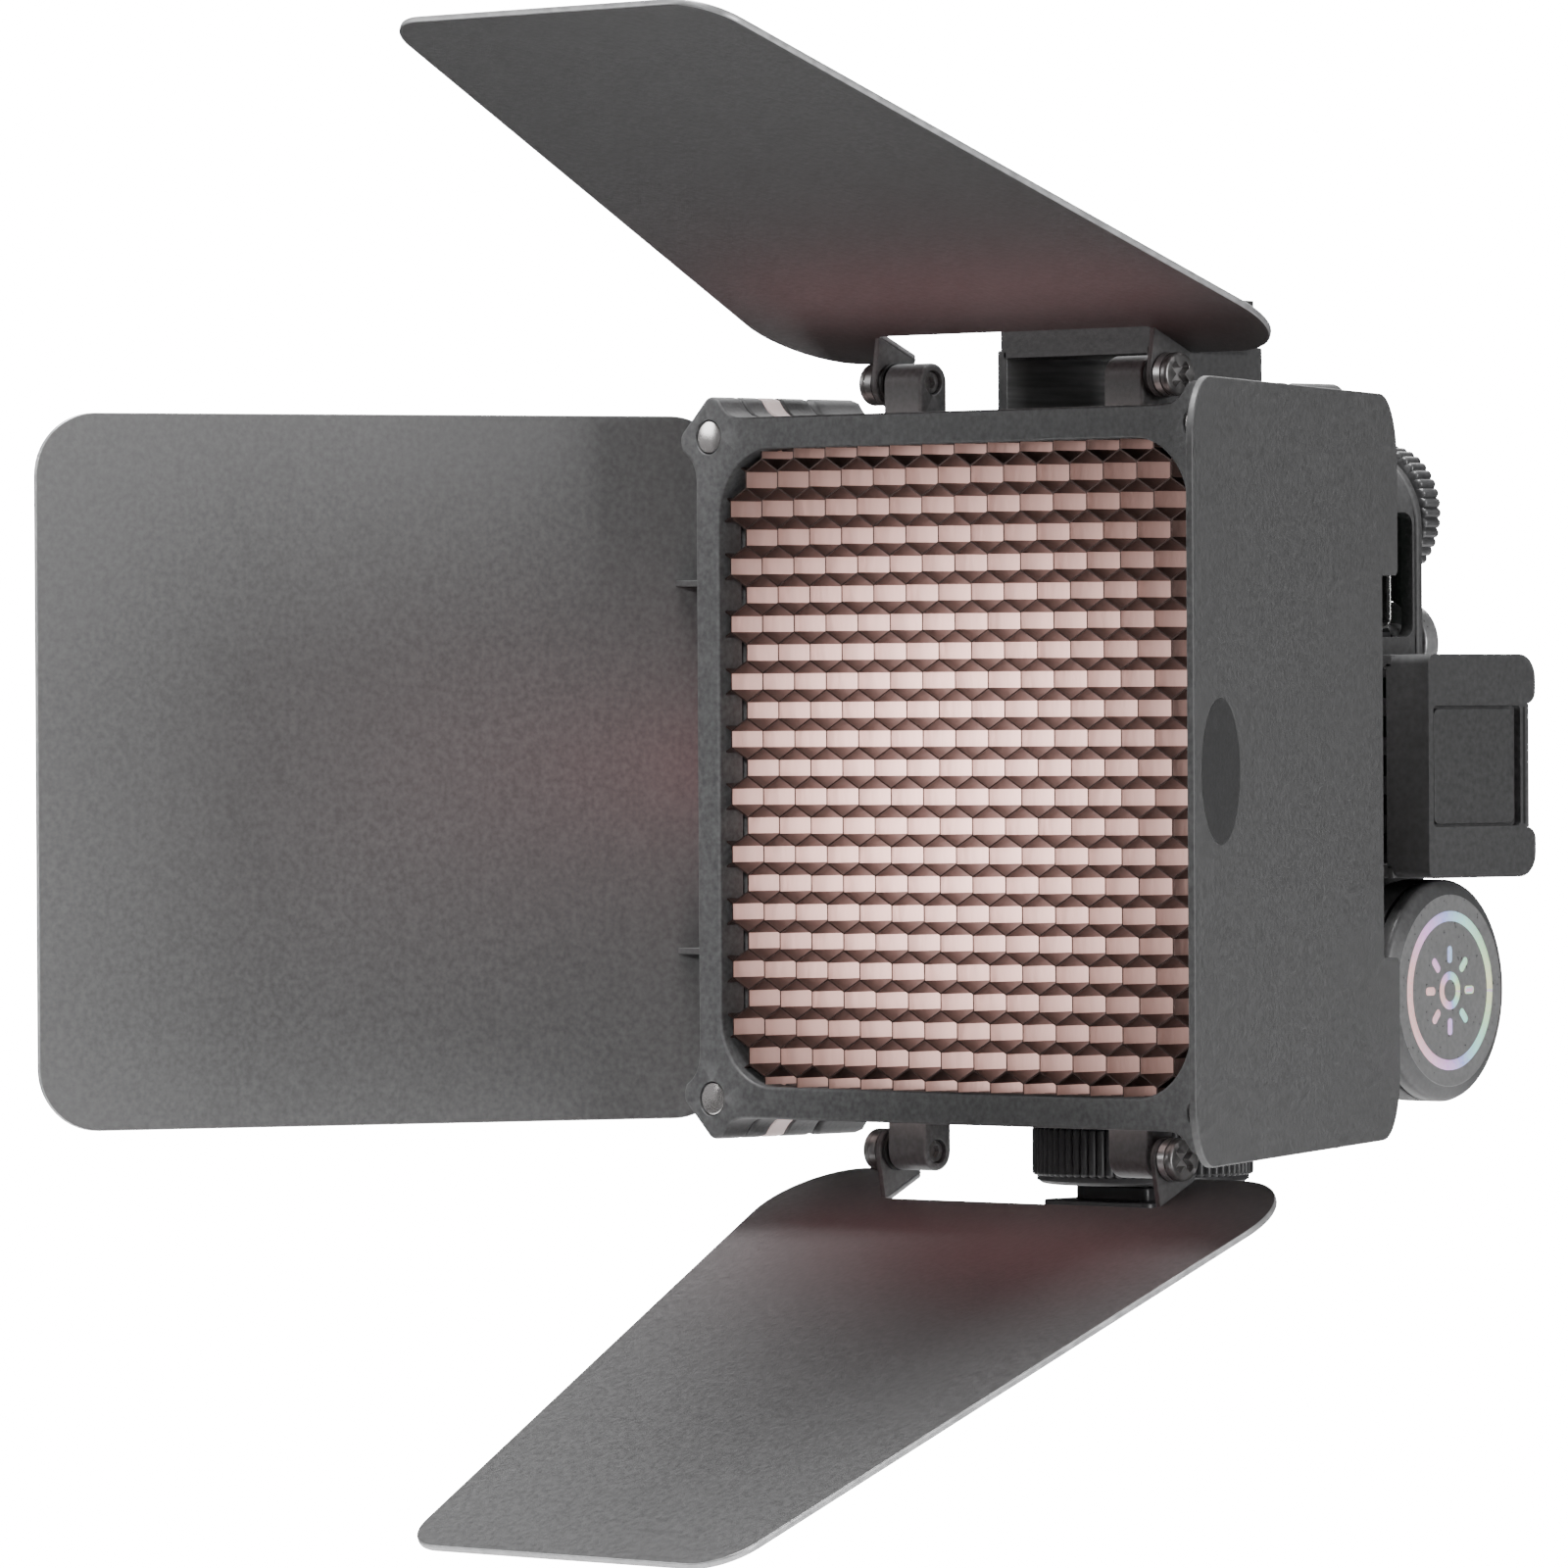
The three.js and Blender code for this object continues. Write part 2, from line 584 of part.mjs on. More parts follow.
piece('main_board', cut(
  box(MAIN_BOARD.x, MAIN_BOARD.y, MAIN_BOARD.z),
  rod('y', [40, 44], DIAL_SHAFT_R + GAP, [DIAL.x, DIAL.z]),
  rod('y', [40, 44], 5, [8, 36], 12),
  box([BUTTON.x - 3.3, 45], [40, 44], [BUTTON.z - 3.8, BUTTON.z + 3]),
), 'green');
piece('battery_pack', slab(roundedBox(BATTERY.x, BATTERY.z, 3), BATTERY.y, 3), 'wrap');

// A square fan: its round duct is closed at the back by a plate with two crossing slots.
const fan = new THREE.Group();
fan.position.set(FAN.x, 0, FAN.z);
light.add(fan);
function fanFrame() {
  const across = [-FAN.half, FAN.half];
  const [y0, y1] = FAN.y;
  const hubPlate = rod('y', [y1 - 2, y1 + 2], FAN.hub + 0.5, [0, 0]);
  const slots = [45, -45].map((angle) => (
    cut(box([-FAN.half + 2, FAN.half - 2], [y1 - 1.1, y1 + 1], [-2, 2]).rotate([0, angle, 0]), hubPlate)
  ));
  return cut(box(across, FAN.y, across), rod('y', [y0 - 1, y1 - 1], FAN.half - 1, [0, 0], 24), ...slots);
}
piece('fan_frame', fanFrame(), 'black', fan);

function fanRotor() {
  const [y0, y1] = FAN.y;
  const hub = rod('y', [y0 + 0.6, y1 - 1.8], FAN.hub, [0, 0], 16);
  const blade = box([FAN.hub - 0.5, FAN.half - 1.6], [y0 + 1.2, y1 - 2.2], [-0.5, 0.5]);
  const blades = [];
  for (let i = 0; i < FAN.blades; i += 1) blades.push(blade.rotate([0, (i * 360) / FAN.blades, 0]));
  return join(hub, ...blades);
}
piece('fan_rotor', fanRotor(), 'black', fan);

// A USB-C receptacle and a slide switch, both reached through the opening in the right wall.
function usbPort() {
  const { x: [x0, x1], y: [y0, y1], z: [z0, z1] } = PORT;
  const wall = 0.4;
  const shell = plate(roundedBox(PORT.y, PORT.z, 1.5), PORT.x, 4);
  const mouth = roundedBox([y0 + wall, y1 - wall], [z0 + wall, z1 - wall], 1.1);
  const throat = plate(mouth, [x0 + 0.5, x1 + 1], 4);
  const tongue = box([x0 + 0.2, x1 - 1.2], [y0 + 1.2, y0 + 2], [z0 + 1.4, z1 - 1.4]);
  return join(cut(shell, throat), tongue);
}
piece('usb_port', usbPort(), 'steel');
piece('switch_body', cut(
  box(SWITCH.x, SWITCH.y, SWITCH.z),
  box([37.2, 40], [37.6, 39.8], [27.6, 30.4]),
), 'steel');
piece('switch_slider', box([37.5, 39.8], [37.9, 39.5], [28, 29.2]), 'black');

// ---------------------------------------------------------------- shoe mount

const mount = new THREE.Group();
mount.position.set(0, MOUNT_Y, 0);
light.add(mount);

// The thumb wheel: a ribbed grip above a tapered lower edge.
function mountWheel() {
  const [low, high] = WHEEL.z;
  const taper = 1.2;
  const grip = fluted(WHEEL.r, 0.45, 28, [0, high - low - taper]).rotate([90, 0, 0]);
  const edge = solid(new THREE.CylinderGeometry(WHEEL.r - 0.5, WHEEL.r - 1.7, taper + 0.2, 28));
  return cut(
    join(
      grip.translate([0, 0, low + taper]),
      edge.rotate([90, 0, 0]).translate([0, 0, low + (taper + 0.2) / 2]),
    ),
    rod('z', [low - 1, high + 1], STUD_R + GAP, [0, 0]),
  );
}
piece('mount_wheel', mountWheel(), 'black', mount);
piece('mount_stud', rod('z', [-54.6, -40.2], STUD_R, [0, 0]), 'screw', mount);

function shoeFoot() {
  const neck = [-NECK / 2, NECK / 2];
  const [low, high] = FOOT_Z;
  return cut(
    join(
      box(neck, neck, [high - 0.1, WHEEL.z[0] - GAP]),
      slab(roundedSquare(FOOT / 2, 1), [0, high - low], 3).rotate([90, 0, 0]).translate([0, 0, low]),
    ),
    rod('z', [-54.9, -50], STUD_R + GAP, [0, 0]),
  );
}
piece('shoe_foot', shoeFoot(), 'black', mount);

export default light;
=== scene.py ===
"""A compact square LED panel light with a honeycomb grid, four barn doors and a cold-shoe foot.

Shapes are drawn in millimetres in the light's own axes: X to the right seen from the front, Y from the
front face of the grid frame towards the back, Z up, with X = 0 and Z = 0 in the middle of the frame. LIGHT
turns them into metres in the row's frame.
"""

import math

import bmesh
import bpy
from mathutils import Matrix, Vector

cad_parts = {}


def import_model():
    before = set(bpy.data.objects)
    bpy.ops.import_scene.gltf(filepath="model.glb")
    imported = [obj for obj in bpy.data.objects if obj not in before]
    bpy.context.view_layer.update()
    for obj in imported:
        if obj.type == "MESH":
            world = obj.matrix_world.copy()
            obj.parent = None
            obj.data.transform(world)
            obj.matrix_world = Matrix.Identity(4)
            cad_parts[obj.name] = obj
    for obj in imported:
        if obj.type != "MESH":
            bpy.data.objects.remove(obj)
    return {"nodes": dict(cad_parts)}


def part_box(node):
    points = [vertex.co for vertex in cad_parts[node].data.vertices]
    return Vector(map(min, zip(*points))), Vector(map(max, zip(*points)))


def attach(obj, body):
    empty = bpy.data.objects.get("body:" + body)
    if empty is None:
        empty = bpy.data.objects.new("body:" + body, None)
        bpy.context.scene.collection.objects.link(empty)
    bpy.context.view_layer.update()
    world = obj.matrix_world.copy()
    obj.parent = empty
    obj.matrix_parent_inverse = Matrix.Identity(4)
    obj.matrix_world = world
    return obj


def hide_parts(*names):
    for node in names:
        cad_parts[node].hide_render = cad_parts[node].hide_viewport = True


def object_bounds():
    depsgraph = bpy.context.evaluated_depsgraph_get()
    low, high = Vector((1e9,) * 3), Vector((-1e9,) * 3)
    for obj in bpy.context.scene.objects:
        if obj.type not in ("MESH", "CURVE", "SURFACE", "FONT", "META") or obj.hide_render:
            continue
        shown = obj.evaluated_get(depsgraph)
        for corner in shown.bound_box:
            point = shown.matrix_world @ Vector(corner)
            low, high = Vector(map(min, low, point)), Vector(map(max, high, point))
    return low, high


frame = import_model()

CAD_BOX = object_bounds()
MM = 0.001
TAU = 2 * math.pi


# ------------------------------------------------------------------ places taken from the frame

GRID_LOW, GRID_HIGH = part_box("grid_frame")
GRID_MIDDLE = (GRID_LOW + GRID_HIGH) / 2
ORIGIN = Vector((GRID_MIDDLE.x, GRID_LOW.y, GRID_MIDDLE.z))
LIGHT = Matrix.Translation(ORIGIN) @ Matrix.Scale(MM, 4)


def local_box(node):
    """A CAD node's box in the light's own millimetres, as [low, high] for X, Y and Z."""
    low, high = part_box(node)
    return [((a - o) / MM, (b - o) / MM) for a, b, o in zip(low, high, ORIGIN)]


def local_middle(node):
    return Vector([(a + b) / 2 for a, b in local_box(node)])


def span_y(node):
    return local_box(node)[1]


# Grid frame: half widths over the ears, across the frame and of the opening, then the corner magnets.
EAR = local_box("grid_frame")[0][1]
FRAME = EAR - 3
BORDER = 4.1
OPENING = FRAME - BORDER
OPENING_R = 9
MAGNET_AT = 42.6
MAGNET_R = 2.1

# Hinges: where the axes lie, the ring's lugs, the doors' bent ears and the pan-head screws.
HINGE_Y = 14.3
LUG = (16, 22.6)
LUG_R = 2.5
LUG_BORE = 1.55
FLAP_X = (23.6, 24.4)
FLAP_R = 2.9
FLAP_BORE = 1.7
HEAD_X = (24.65, 26.9)
HEAD_R = 2.75
SHANK_R = 1.4

# Doors: sheet thickness, the sheet's middle off its axis, and how far a door reaches behind its axis.
SHEET = 0.9
SHEET_OFF = 4.95
DOOR_TAIL = 3.3

# Housing and brackets.
BODY = local_box("rear_cover")[0][1]
BODY_R = 9.9
WALL = 2
MOUNT_Y = 35.6
BRACKET_OUT = local_box("side_bracket")[0][1]
BRACKET_PLATE = 7
BRACKET_HALF = 13.9
BRACKET_LEG = 1.7

# tail and tip are half widths, open is the rest angle, and edge is the look of the sheet's cut edge: the
# light 'edge' look is a painted highlight, 'door' is the door's own paint.
TALL_DOOR = {"length": 98.7, "tail": 45.4, "tip": 27.9, "tail_r": 10.8, "tip_r": 7.2, "notch": 7.8}
RIGHT_DOOR = {"length": 96.3, "tail": 45.9, "tip": 45.9, "tail_r": 8.1, "tip_r": 8.1, "notch": 7.8}
LEFT_DOOR = {**RIGHT_DOOR, "notch": 4.4}
SIDES = [
    {"name": "top", "roll": 0, "reach": 49.2, "door": TALL_DOOR, "open": 24, "edge": "edge"},
    {"name": "right", "roll": 90, "reach": 54.9, "door": RIGHT_DOOR, "open": 27.3, "edge": "door"},
    {"name": "bottom", "roll": 180, "reach": 49.2, "door": TALL_DOOR, "open": 26, "edge": "edge"},
    {"name": "left", "roll": 270, "reach": 54.9, "door": LEFT_DOOR, "open": 21.5, "edge": "edge"},
]
TOP, RIGHT, BOTTOM, LEFT = SIDES


# ------------------------------------------------------------------ materials

def new_material(name):
    material = bpy.data.materials.new(name)
    material.use_nodes = True
    tree = material.node_tree
    tree.nodes.clear()
    output = tree.nodes.new("ShaderNodeOutputMaterial")
    shader = tree.nodes.new("ShaderNodeBsdfPrincipled")
    tree.links.new(shader.outputs["BSDF"], output.inputs["Surface"])
    return material, tree, shader


def noise(tree, scale, detail=2.0, stretch=(1, 1, 1)):
    """Noise in the row's own metres, stretched along an axis where the factor is below 1."""
    coordinates = tree.nodes.new("ShaderNodeTexCoord")
    mapping = tree.nodes.new("ShaderNodeMapping")
    mapping.inputs["Scale"].default_value = stretch
    texture = tree.nodes.new("ShaderNodeTexNoise")
    texture.inputs["Scale"].default_value = scale
    texture.inputs["Detail"].default_value = detail
    tree.links.new(coordinates.outputs["Object"], mapping.inputs["Vector"])
    tree.links.new(mapping.outputs["Vector"], texture.inputs["Vector"])
    return texture.outputs["Fac"]


def map_range(tree, value, source, target, easing="LINEAR"):
    node = tree.nodes.new("ShaderNodeMapRange")
    node.interpolation_type = easing
    for name, number in zip(("From Min", "From Max", "To Min", "To Max"), (*source, *target)):
        node.inputs[name].default_value = number
    tree.links.new(value, node.inputs["Value"])
    return node.outputs["Result"]


def spread(tree, value, low, high):
    """Maps the useful middle of a noise to a range."""
    return map_range(tree, value, (0.3, 0.7), (low, high))


def mix_colours(tree, factor, first, second):
    node = tree.nodes.new("ShaderNodeMix")
    node.data_type = "RGBA"
    for socket, value in ((node.inputs["A"], first), (node.inputs["B"], second)):
        if isinstance(value, bpy.types.NodeSocket):
            tree.links.new(value, socket)
        else:
            socket.default_value = (*value, 1)
    tree.links.new(factor, node.inputs["Factor"])
    return node.outputs["Result"]


def shade(colour, factor):
    return tuple(channel * factor for channel in colour)


def emboss(tree, shader, height, strength, depth):
    """Fine relief in the shading; depth is in metres."""
    relief = tree.nodes.new("ShaderNodeBump")
    relief.inputs["Strength"].default_value = strength
    relief.inputs["Distance"].default_value = depth
    tree.links.new(height, relief.inputs["Height"])
    tree.links.new(relief.outputs["Normal"], shader.inputs["Normal"])


# Coats: scale of the broad tone, swing of the roughness, and where and how much edges are worn.
BROAD = 25
ROUGHNESS_SWING = 0.06
WORN_POINTINESS = (0.52, 0.62)
WORN_SHADE = 2.6
GRAIN_DEPTH = 0.00012


def coat(name, colour, roughness, metallic=0.0, grain=900, contrast=0.18, bump=0.12, wear=0.0,
         stretch=(1, 1, 1)):
    """A finish with fine grain: colour, roughness and relief vary together, and edges wear lighter."""
    material, tree, shader = new_material(name)
    fine = noise(tree, grain, 3, stretch)
    broad = noise(tree, BROAD, 2)
    dark, light = shade(colour, 1 - contrast), shade(colour, 1 + contrast)
    speckled = mix_colours(tree, spread(tree, fine, 0, 1), dark, light)
    colour_out = mix_colours(tree, spread(tree, broad, 0, 0.25), speckled, shade(colour, 0.82))
    if wear:
        geometry = tree.nodes.new("ShaderNodeNewGeometry")
        worn = map_range(tree, geometry.outputs["Pointiness"], WORN_POINTINESS, (0, wear))
        colour_out = mix_colours(tree, worn, colour_out, shade(colour, WORN_SHADE))
    tree.links.new(colour_out, shader.inputs["Base Color"])
    swing = spread(tree, fine, roughness - ROUGHNESS_SWING, roughness + ROUGHNESS_SWING)
    tree.links.new(swing, shader.inputs["Roughness"])
    shader.inputs["Metallic"].default_value = metallic
    emboss(tree, shader, fine, bump, GRAIN_DEPTH)
    return material


def rose_gold():
    """Crinkled pink copper foil, for the honeycomb's upright walls."""
    material, tree, shader = new_material("rose_gold_foil")
    fine = noise(tree, 700, 3, (1, 1, 0.35))
    broad = noise(tree, 60, 2)
    foil = mix_colours(tree, spread(tree, fine, 0, 1), (0.82, 0.62, 0.57), (0.96, 0.77, 0.72))
    colour = mix_colours(tree, spread(tree, broad, 0, 0.5), foil, (0.86, 0.65, 0.58))
    tree.links.new(colour, shader.inputs["Base Color"])
    tree.links.new(spread(tree, fine, 0.34, 0.5), shader.inputs["Roughness"])
    shader.inputs["Metallic"].default_value = 0.9
    emboss(tree, shader, fine, 0.35, 0.0002)
    return material


# Painted glow: the diffuser is brightest at this place, and its strength falls over this range of metres.
GLOW_AT = (-3, 4, -3)
GLOW_REACH = (0.004, 0.055)
GLOW_STRENGTH = (4.4, 0.35)


def centre_glow(tree):
    """Painted glow: strength that falls from near the middle of the light opening to its corners."""
    coordinates = tree.nodes.new("ShaderNodeTexCoord")
    away = tree.nodes.new("ShaderNodeVectorMath")
    away.operation = "DISTANCE"
    away.inputs[1].default_value = LIGHT @ Vector(GLOW_AT)
    tree.links.new(coordinates.outputs["Object"], away.inputs[0])
    return map_range(tree, away.outputs["Value"], GLOW_REACH, GLOW_STRENGTH, "SMOOTHSTEP")


def opal():
    """Milky diffuser with a painted glow, brightest near the middle."""
    material, tree, shader = new_material("opal_diffuser")
    cloud = noise(tree, 120, 3)
    colour = mix_colours(tree, spread(tree, cloud, 0, 1), (0.80, 0.66, 0.64), (0.88, 0.76, 0.74))
    tree.links.new(colour, shader.inputs["Base Color"])
    tree.links.new(spread(tree, cloud, 0.45, 0.6), shader.inputs["Roughness"])
    shader.inputs["Emission Color"].default_value = (1.0, 0.80, 0.765, 1)
    tree.links.new(centre_glow(tree), shader.inputs["Emission Strength"])
    return material


def iridescent():
    """Holographic foil whose hue follows the turn stored in the mesh, twice round the knob, with a faint
    painted glow.
    """
    material, tree, shader = new_material("iridescent_foil")
    turn = tree.nodes.new("ShaderNodeAttribute")
    turn.attribute_name = "turn"
    ramp = tree.nodes.new("ShaderNodeValToRGB")
    yellow = (1.0, 0.97, 0.55)
    hues = [
        (0.09, (0.62, 1.0, 0.58)), (0.19, (0.50, 1.0, 0.90)), (0.27, (0.45, 0.50, 1.0)),
        (0.35, (0.95, 0.50, 1.0)), (0.45, (1.0, 0.58, 0.58)), (0.58, (1.0, 0.58, 0.56)),
        (0.66, (1.0, 0.58, 0.74)), (0.74, (0.88, 0.50, 1.0)), (0.80, (0.46, 0.52, 1.0)),
        (0.86, (0.45, 1.0, 0.92)), (0.93, (0.58, 1.0, 0.60)),
    ]
    elements = ramp.color_ramp.elements
    for element in elements:
        element.color = (*yellow, 1)
    for position, colour in hues:
        elements.new(position).color = (*colour, 1)
    tree.links.new(turn.outputs["Fac"], ramp.inputs["Fac"])
    fine = noise(tree, 1500, 2)
    colour = mix_colours(tree, spread(tree, fine, 0, 0.12), ramp.outputs["Color"], (1, 1, 1))
    tree.links.new(colour, shader.inputs["Base Color"])
    tree.links.new(colour, shader.inputs["Emission Color"])
    # Painted glow: the foil emits a little light in its own colours.
    shader.inputs["Emission Strength"].default_value = 0.32
    tree.links.new(spread(tree, fine, 0.25, 0.35), shader.inputs["Roughness"])
    return material


def clear_plastic():
    """Slightly hazy clear plastic, for the lens behind the bezel."""
    material, tree, shader = new_material("clear_lens")
    haze = noise(tree, 200, 2)
    tree.links.new(mix_colours(tree, spread(tree, haze, 0, 1), (0.88, 0.88, 0.9), (0.96, 0.96, 0.97)),
                   shader.inputs["Base Color"])
    tree.links.new(spread(tree, haze, 0.05, 0.15), shader.inputs["Roughness"])
    shader.inputs["Transmission Weight"].default_value = 0.9
    return material


LOOK = {
    "frame": coat("frame_coat", (0.108, 0.108, 0.11), 0.5, grain=1500, contrast=0.3, bump=0.35, wear=0.5),
    "body": coat("body_coat", (0.066, 0.066, 0.067), 0.55, grain=1500, contrast=0.25, bump=0.35, wear=0.4),
    "bracket": coat("bracket_coat", (0.052, 0.052, 0.053), 0.55, grain=1500, contrast=0.25, bump=0.3,
                    wear=0.4),
    # Brushed metal, lighter than the bracket as painted light.
    "brushed_painted_light": coat("brushed_leg_painted_light", (0.20, 0.20, 0.202), 0.36, 0.5, grain=900, contrast=0.45, bump=0.25,
                    stretch=(1, 0.06, 1)),
    "door": coat("door_powder", (0.105, 0.105, 0.106), 0.5, grain=1300, contrast=0.22, bump=0.3),
    # Painted highlight: a light grey for the doors' cut edges.
    "edge": coat("painted_edge_highlight", (0.55, 0.55, 0.56), 0.35, 0.5, grain=700, contrast=0.15, bump=0.1),
    "disc": coat("door_disc", (0.055, 0.055, 0.056), 0.45, grain=1300, contrast=0.12, bump=0.1),
    "dial": coat("dial_grip", (0.10, 0.10, 0.102), 0.38, 0.3, grain=1200, contrast=0.25, bump=0.2,
                 wear=0.6),
    "black": coat("black_plastic", (0.016, 0.016, 0.017), 0.42, grain=1200, contrast=0.2, bump=0.2,
                  wear=0.3),
    "washer": coat("washer_rubber", (0.012, 0.012, 0.012), 0.6, grain=900, contrast=0.2, bump=0.2),
    "screw": coat("dark_steel", (0.27, 0.265, 0.265), 0.34, 0.75, grain=900, contrast=0.25, bump=0.12,
                  wear=0.8),
    "magnet": coat("magnet_plate", (0.96, 0.92, 0.91), 0.2, 0.9, grain=400, contrast=0.04, bump=0.03),
    "satin": coat("satin_alloy", (0.41, 0.41, 0.415), 0.33, 0.55, grain=1500, contrast=0.12, bump=0.12),
    # Painted shade: a darker colour for the side knob's rim.
    "rim": coat("knob_rim_painted_shade", (0.12, 0.12, 0.122), 0.42, 0.3, grain=1500, contrast=0.15, bump=0.15),
    "steel": coat("bright_steel", (0.66, 0.65, 0.64), 0.2, 0.95, grain=600, contrast=0.08, bump=0.06),
    "sink": coat("sink_alloy", (0.6, 0.6, 0.61), 0.35, 0.85, grain=700, contrast=0.1, bump=0.1,
                 stretch=(1, 1, 0.1)),
    "glass_black": coat("display_glass", (0.006, 0.006, 0.007), 0.1, grain=60, contrast=0.1, bump=0.01),
    "ink": coat("marking_ink", (0.42, 0.42, 0.43), 0.5, grain=900, contrast=0.1, bump=0.05),
    "board": coat("solder_mask", (0.015, 0.07, 0.035), 0.4, grain=300, contrast=0.4, bump=0.2),
    "white": coat("led_white", (0.72, 0.70, 0.64), 0.45, grain=500, contrast=0.08, bump=0.1),
    "wrap": coat("battery_wrap", (0.05, 0.10, 0.20), 0.3, grain=150, contrast=0.15, bump=0.2),
    "foil": rose_gold(),
    # A darker foil for the cut edges, also used as painted shade on the slanting walls.
    "foil_edge_and_painted_shade": coat("foil_edge_and_painted_shade", (0.08, 0.052, 0.047), 0.36, 0.7, grain=900, contrast=0.3, bump=0.1),
    "opal": opal(),
    "iridescent": iridescent(),
    "clear": clear_plastic(),
}


# ------------------------------------------------------------------ outlines

def rounded(points, steps=8):
    """A polygon with its corners rounded; each point is (x, y, radius)."""
    out = []
    count = len(points)
    for i, (x, y, r) in enumerate(points):
        corner = Vector((x, y))
        if r <= 0:
            out.append(corner)
            continue
        back = (Vector(points[i - 1][:2]) - corner).normalized()
        on = (Vector(points[(i + 1) % count][:2]) - corner).normalized()
        half = math.acos(max(-1, min(1, back.dot(on)))) / 2
        start = corner + back * r / math.tan(half)
        centre = corner + (back + on).normalized() * r / math.sin(half)
        a0 = math.atan2(start.y - centre.y, start.x - centre.x)
        sweep = math.pi - 2 * half
        if back.cross(on) > 0:
            sweep = -sweep
        for step in range(steps + 1):
            angle = a0 + sweep * step / steps
            out.append(centre + Vector((math.cos(angle), math.sin(angle))) * r)
    return out


def rectangle(x, y, radius=0, steps=6):
    return rounded([(x[i], y[j], radius) for i, j in ((0, 0), (1, 0), (1, 1), (0, 1))], steps)


def square(half, radius, steps=12):
    return rectangle((-half, half), (-half, half), radius, steps)


def circle(radius, centre=(0, 0), sides=48):
    middle = Vector(centre)
    turns = [TAU * i / sides for i in range(sides)]
    return [middle + Vector((math.cos(a), math.sin(a))) * radius for a in turns]


def bezier(a, b, c, d, steps):
    """Points along a cubic curve, both ends included."""
    points = [Vector(p) for p in (a, b, c, d)]
    out = []
    for step in range(steps + 1):
        t = step / steps
        weights = ((1 - t) ** 3, 3 * t * (1 - t) ** 2, 3 * t * t * (1 - t), t ** 3)
        out.append(sum((p * w for p, w in zip(points, weights)), Vector((0, 0))))
    return out


def eared():
    """The outline that every frame of the stack shares: a square whose corners swell into bevelled ears."""
    tip = MAGNET_AT
    swell = bezier((FRAME, 36.4), (FRAME, 39.1), (FRAME + 1, 40), (EAR, 41.2), 10)
    rise = [(p.x, p.y, 0) for p in swell[:-1]]
    fall = [(y, x, r) for x, y, r in reversed(rise)]
    corner = rise + [(EAR, tip, 1.6), (tip, EAR, 1.6)] + fall
    points = []
    for c, s in ((1, 0), (0, 1), (-1, 0), (0, -1)):
        points += [(x * c - y * s, x * s + y * c, r) for x, y, r in corner]
    return rounded(points, 5)


def knurled(radius, depth, count):
    """A round outline with flutes."""
    out = []
    steps = count * 6
    for i in range(steps):
        wave = abs(math.cos(math.pi * count * i / steps))
        r = radius - depth * (1 - wave ** 0.6)
        out.append(Vector((math.cos(TAU * i / steps), math.sin(TAU * i / steps))) * r)
    return out


def hull(points):
    """The convex outline round some points, anticlockwise."""
    ordered = sorted((round(p.x, 5), round(p.y, 5)) for p in points)

    def chain(sequence):
        out = []
        for p in sequence:
            while len(out) > 1:
                (ax, ay), (bx, by) = out[-2:]
                if (bx - ax) * (p[1] - ay) - (by - ay) * (p[0] - ax) > 0:
                    break
                out.pop()
            out.append(p)
        return out[:-1]

    return [Vector(p) for p in chain(ordered) + chain(list(reversed(ordered)))]


# ------------------------------------------------------------------ meshes

# Each plane puts an outline's u and v, and a depth w, into X, Y and Z.
PLANES = {
    "xz": lambda u, v, w: (u, w, v),
    "yz": lambda u, v, w: (w, u, v),
    "xy": lambda u, v, w: (u, v, w),
}


def area(loop):
    return sum(a.cross(b) for a, b in zip(loop, loop[1:] + loop[:1])) / 2


MITRE_LIMIT = 0.4


def inset(loop, by):
    """The outline moved to its left, into the material."""
    out = []
    for i, point in enumerate(loop):
        before = (point - loop[i - 1]).normalized()
        after = (loop[(i + 1) % len(loop)] - point).normalized()
        first = Vector((-before.y, before.x))
        normal = (first + Vector((-after.y, after.x))).normalized()
        out.append(point + normal * by / max(MITRE_LIMIT, normal.dot(first)))
    return out


def slab(loops, low, high, plane="xz", bevel=0.3, steps=3):
    """A plate with eased edges: first outline its rim, the rest its holes. bevel can be a list."""
    bm = bmesh.new()
    place = PLANES[plane]
    bevels = bevel if isinstance(bevel, (list, tuple)) else [bevel] * len(loops)
    caps = ([], [])
    for number, (loop, ease) in enumerate(zip(loops, bevels)):
        if (area(loop) > 0) != (number == 0):
            loop = list(reversed(loop))
        turns = [math.pi / 2 * step / steps for step in range(steps + 1)] if ease else [math.pi / 2]
        near = [(ease * (1 - math.sin(a)), low + ease * (1 - math.cos(a))) for a in turns]
        far = [(depth, low + high - w) for depth, w in reversed(near)]
        rings = []
        for depth, w in near + far:
            points = inset(loop, depth) if depth > 1e-6 else loop
            rings.append([bm.verts.new(place(p.x, p.y, w)) for p in points])
        for one, two in zip(rings, rings[1:]):
            for i in range(len(one)):
                j = (i + 1) % len(one)
                bm.faces.new((one[i], one[j], two[j], two[i]))
        for cap, ring in zip(caps, (rings[0], rings[-1])):
            cap += [bm.edges.get((ring[i], ring[(i + 1) % len(ring)])) for i in range(len(ring))]
    for cap in caps:
        bmesh.ops.triangle_fill(bm, edges=cap, use_beauty=True, use_dissolve=False)
    return bm


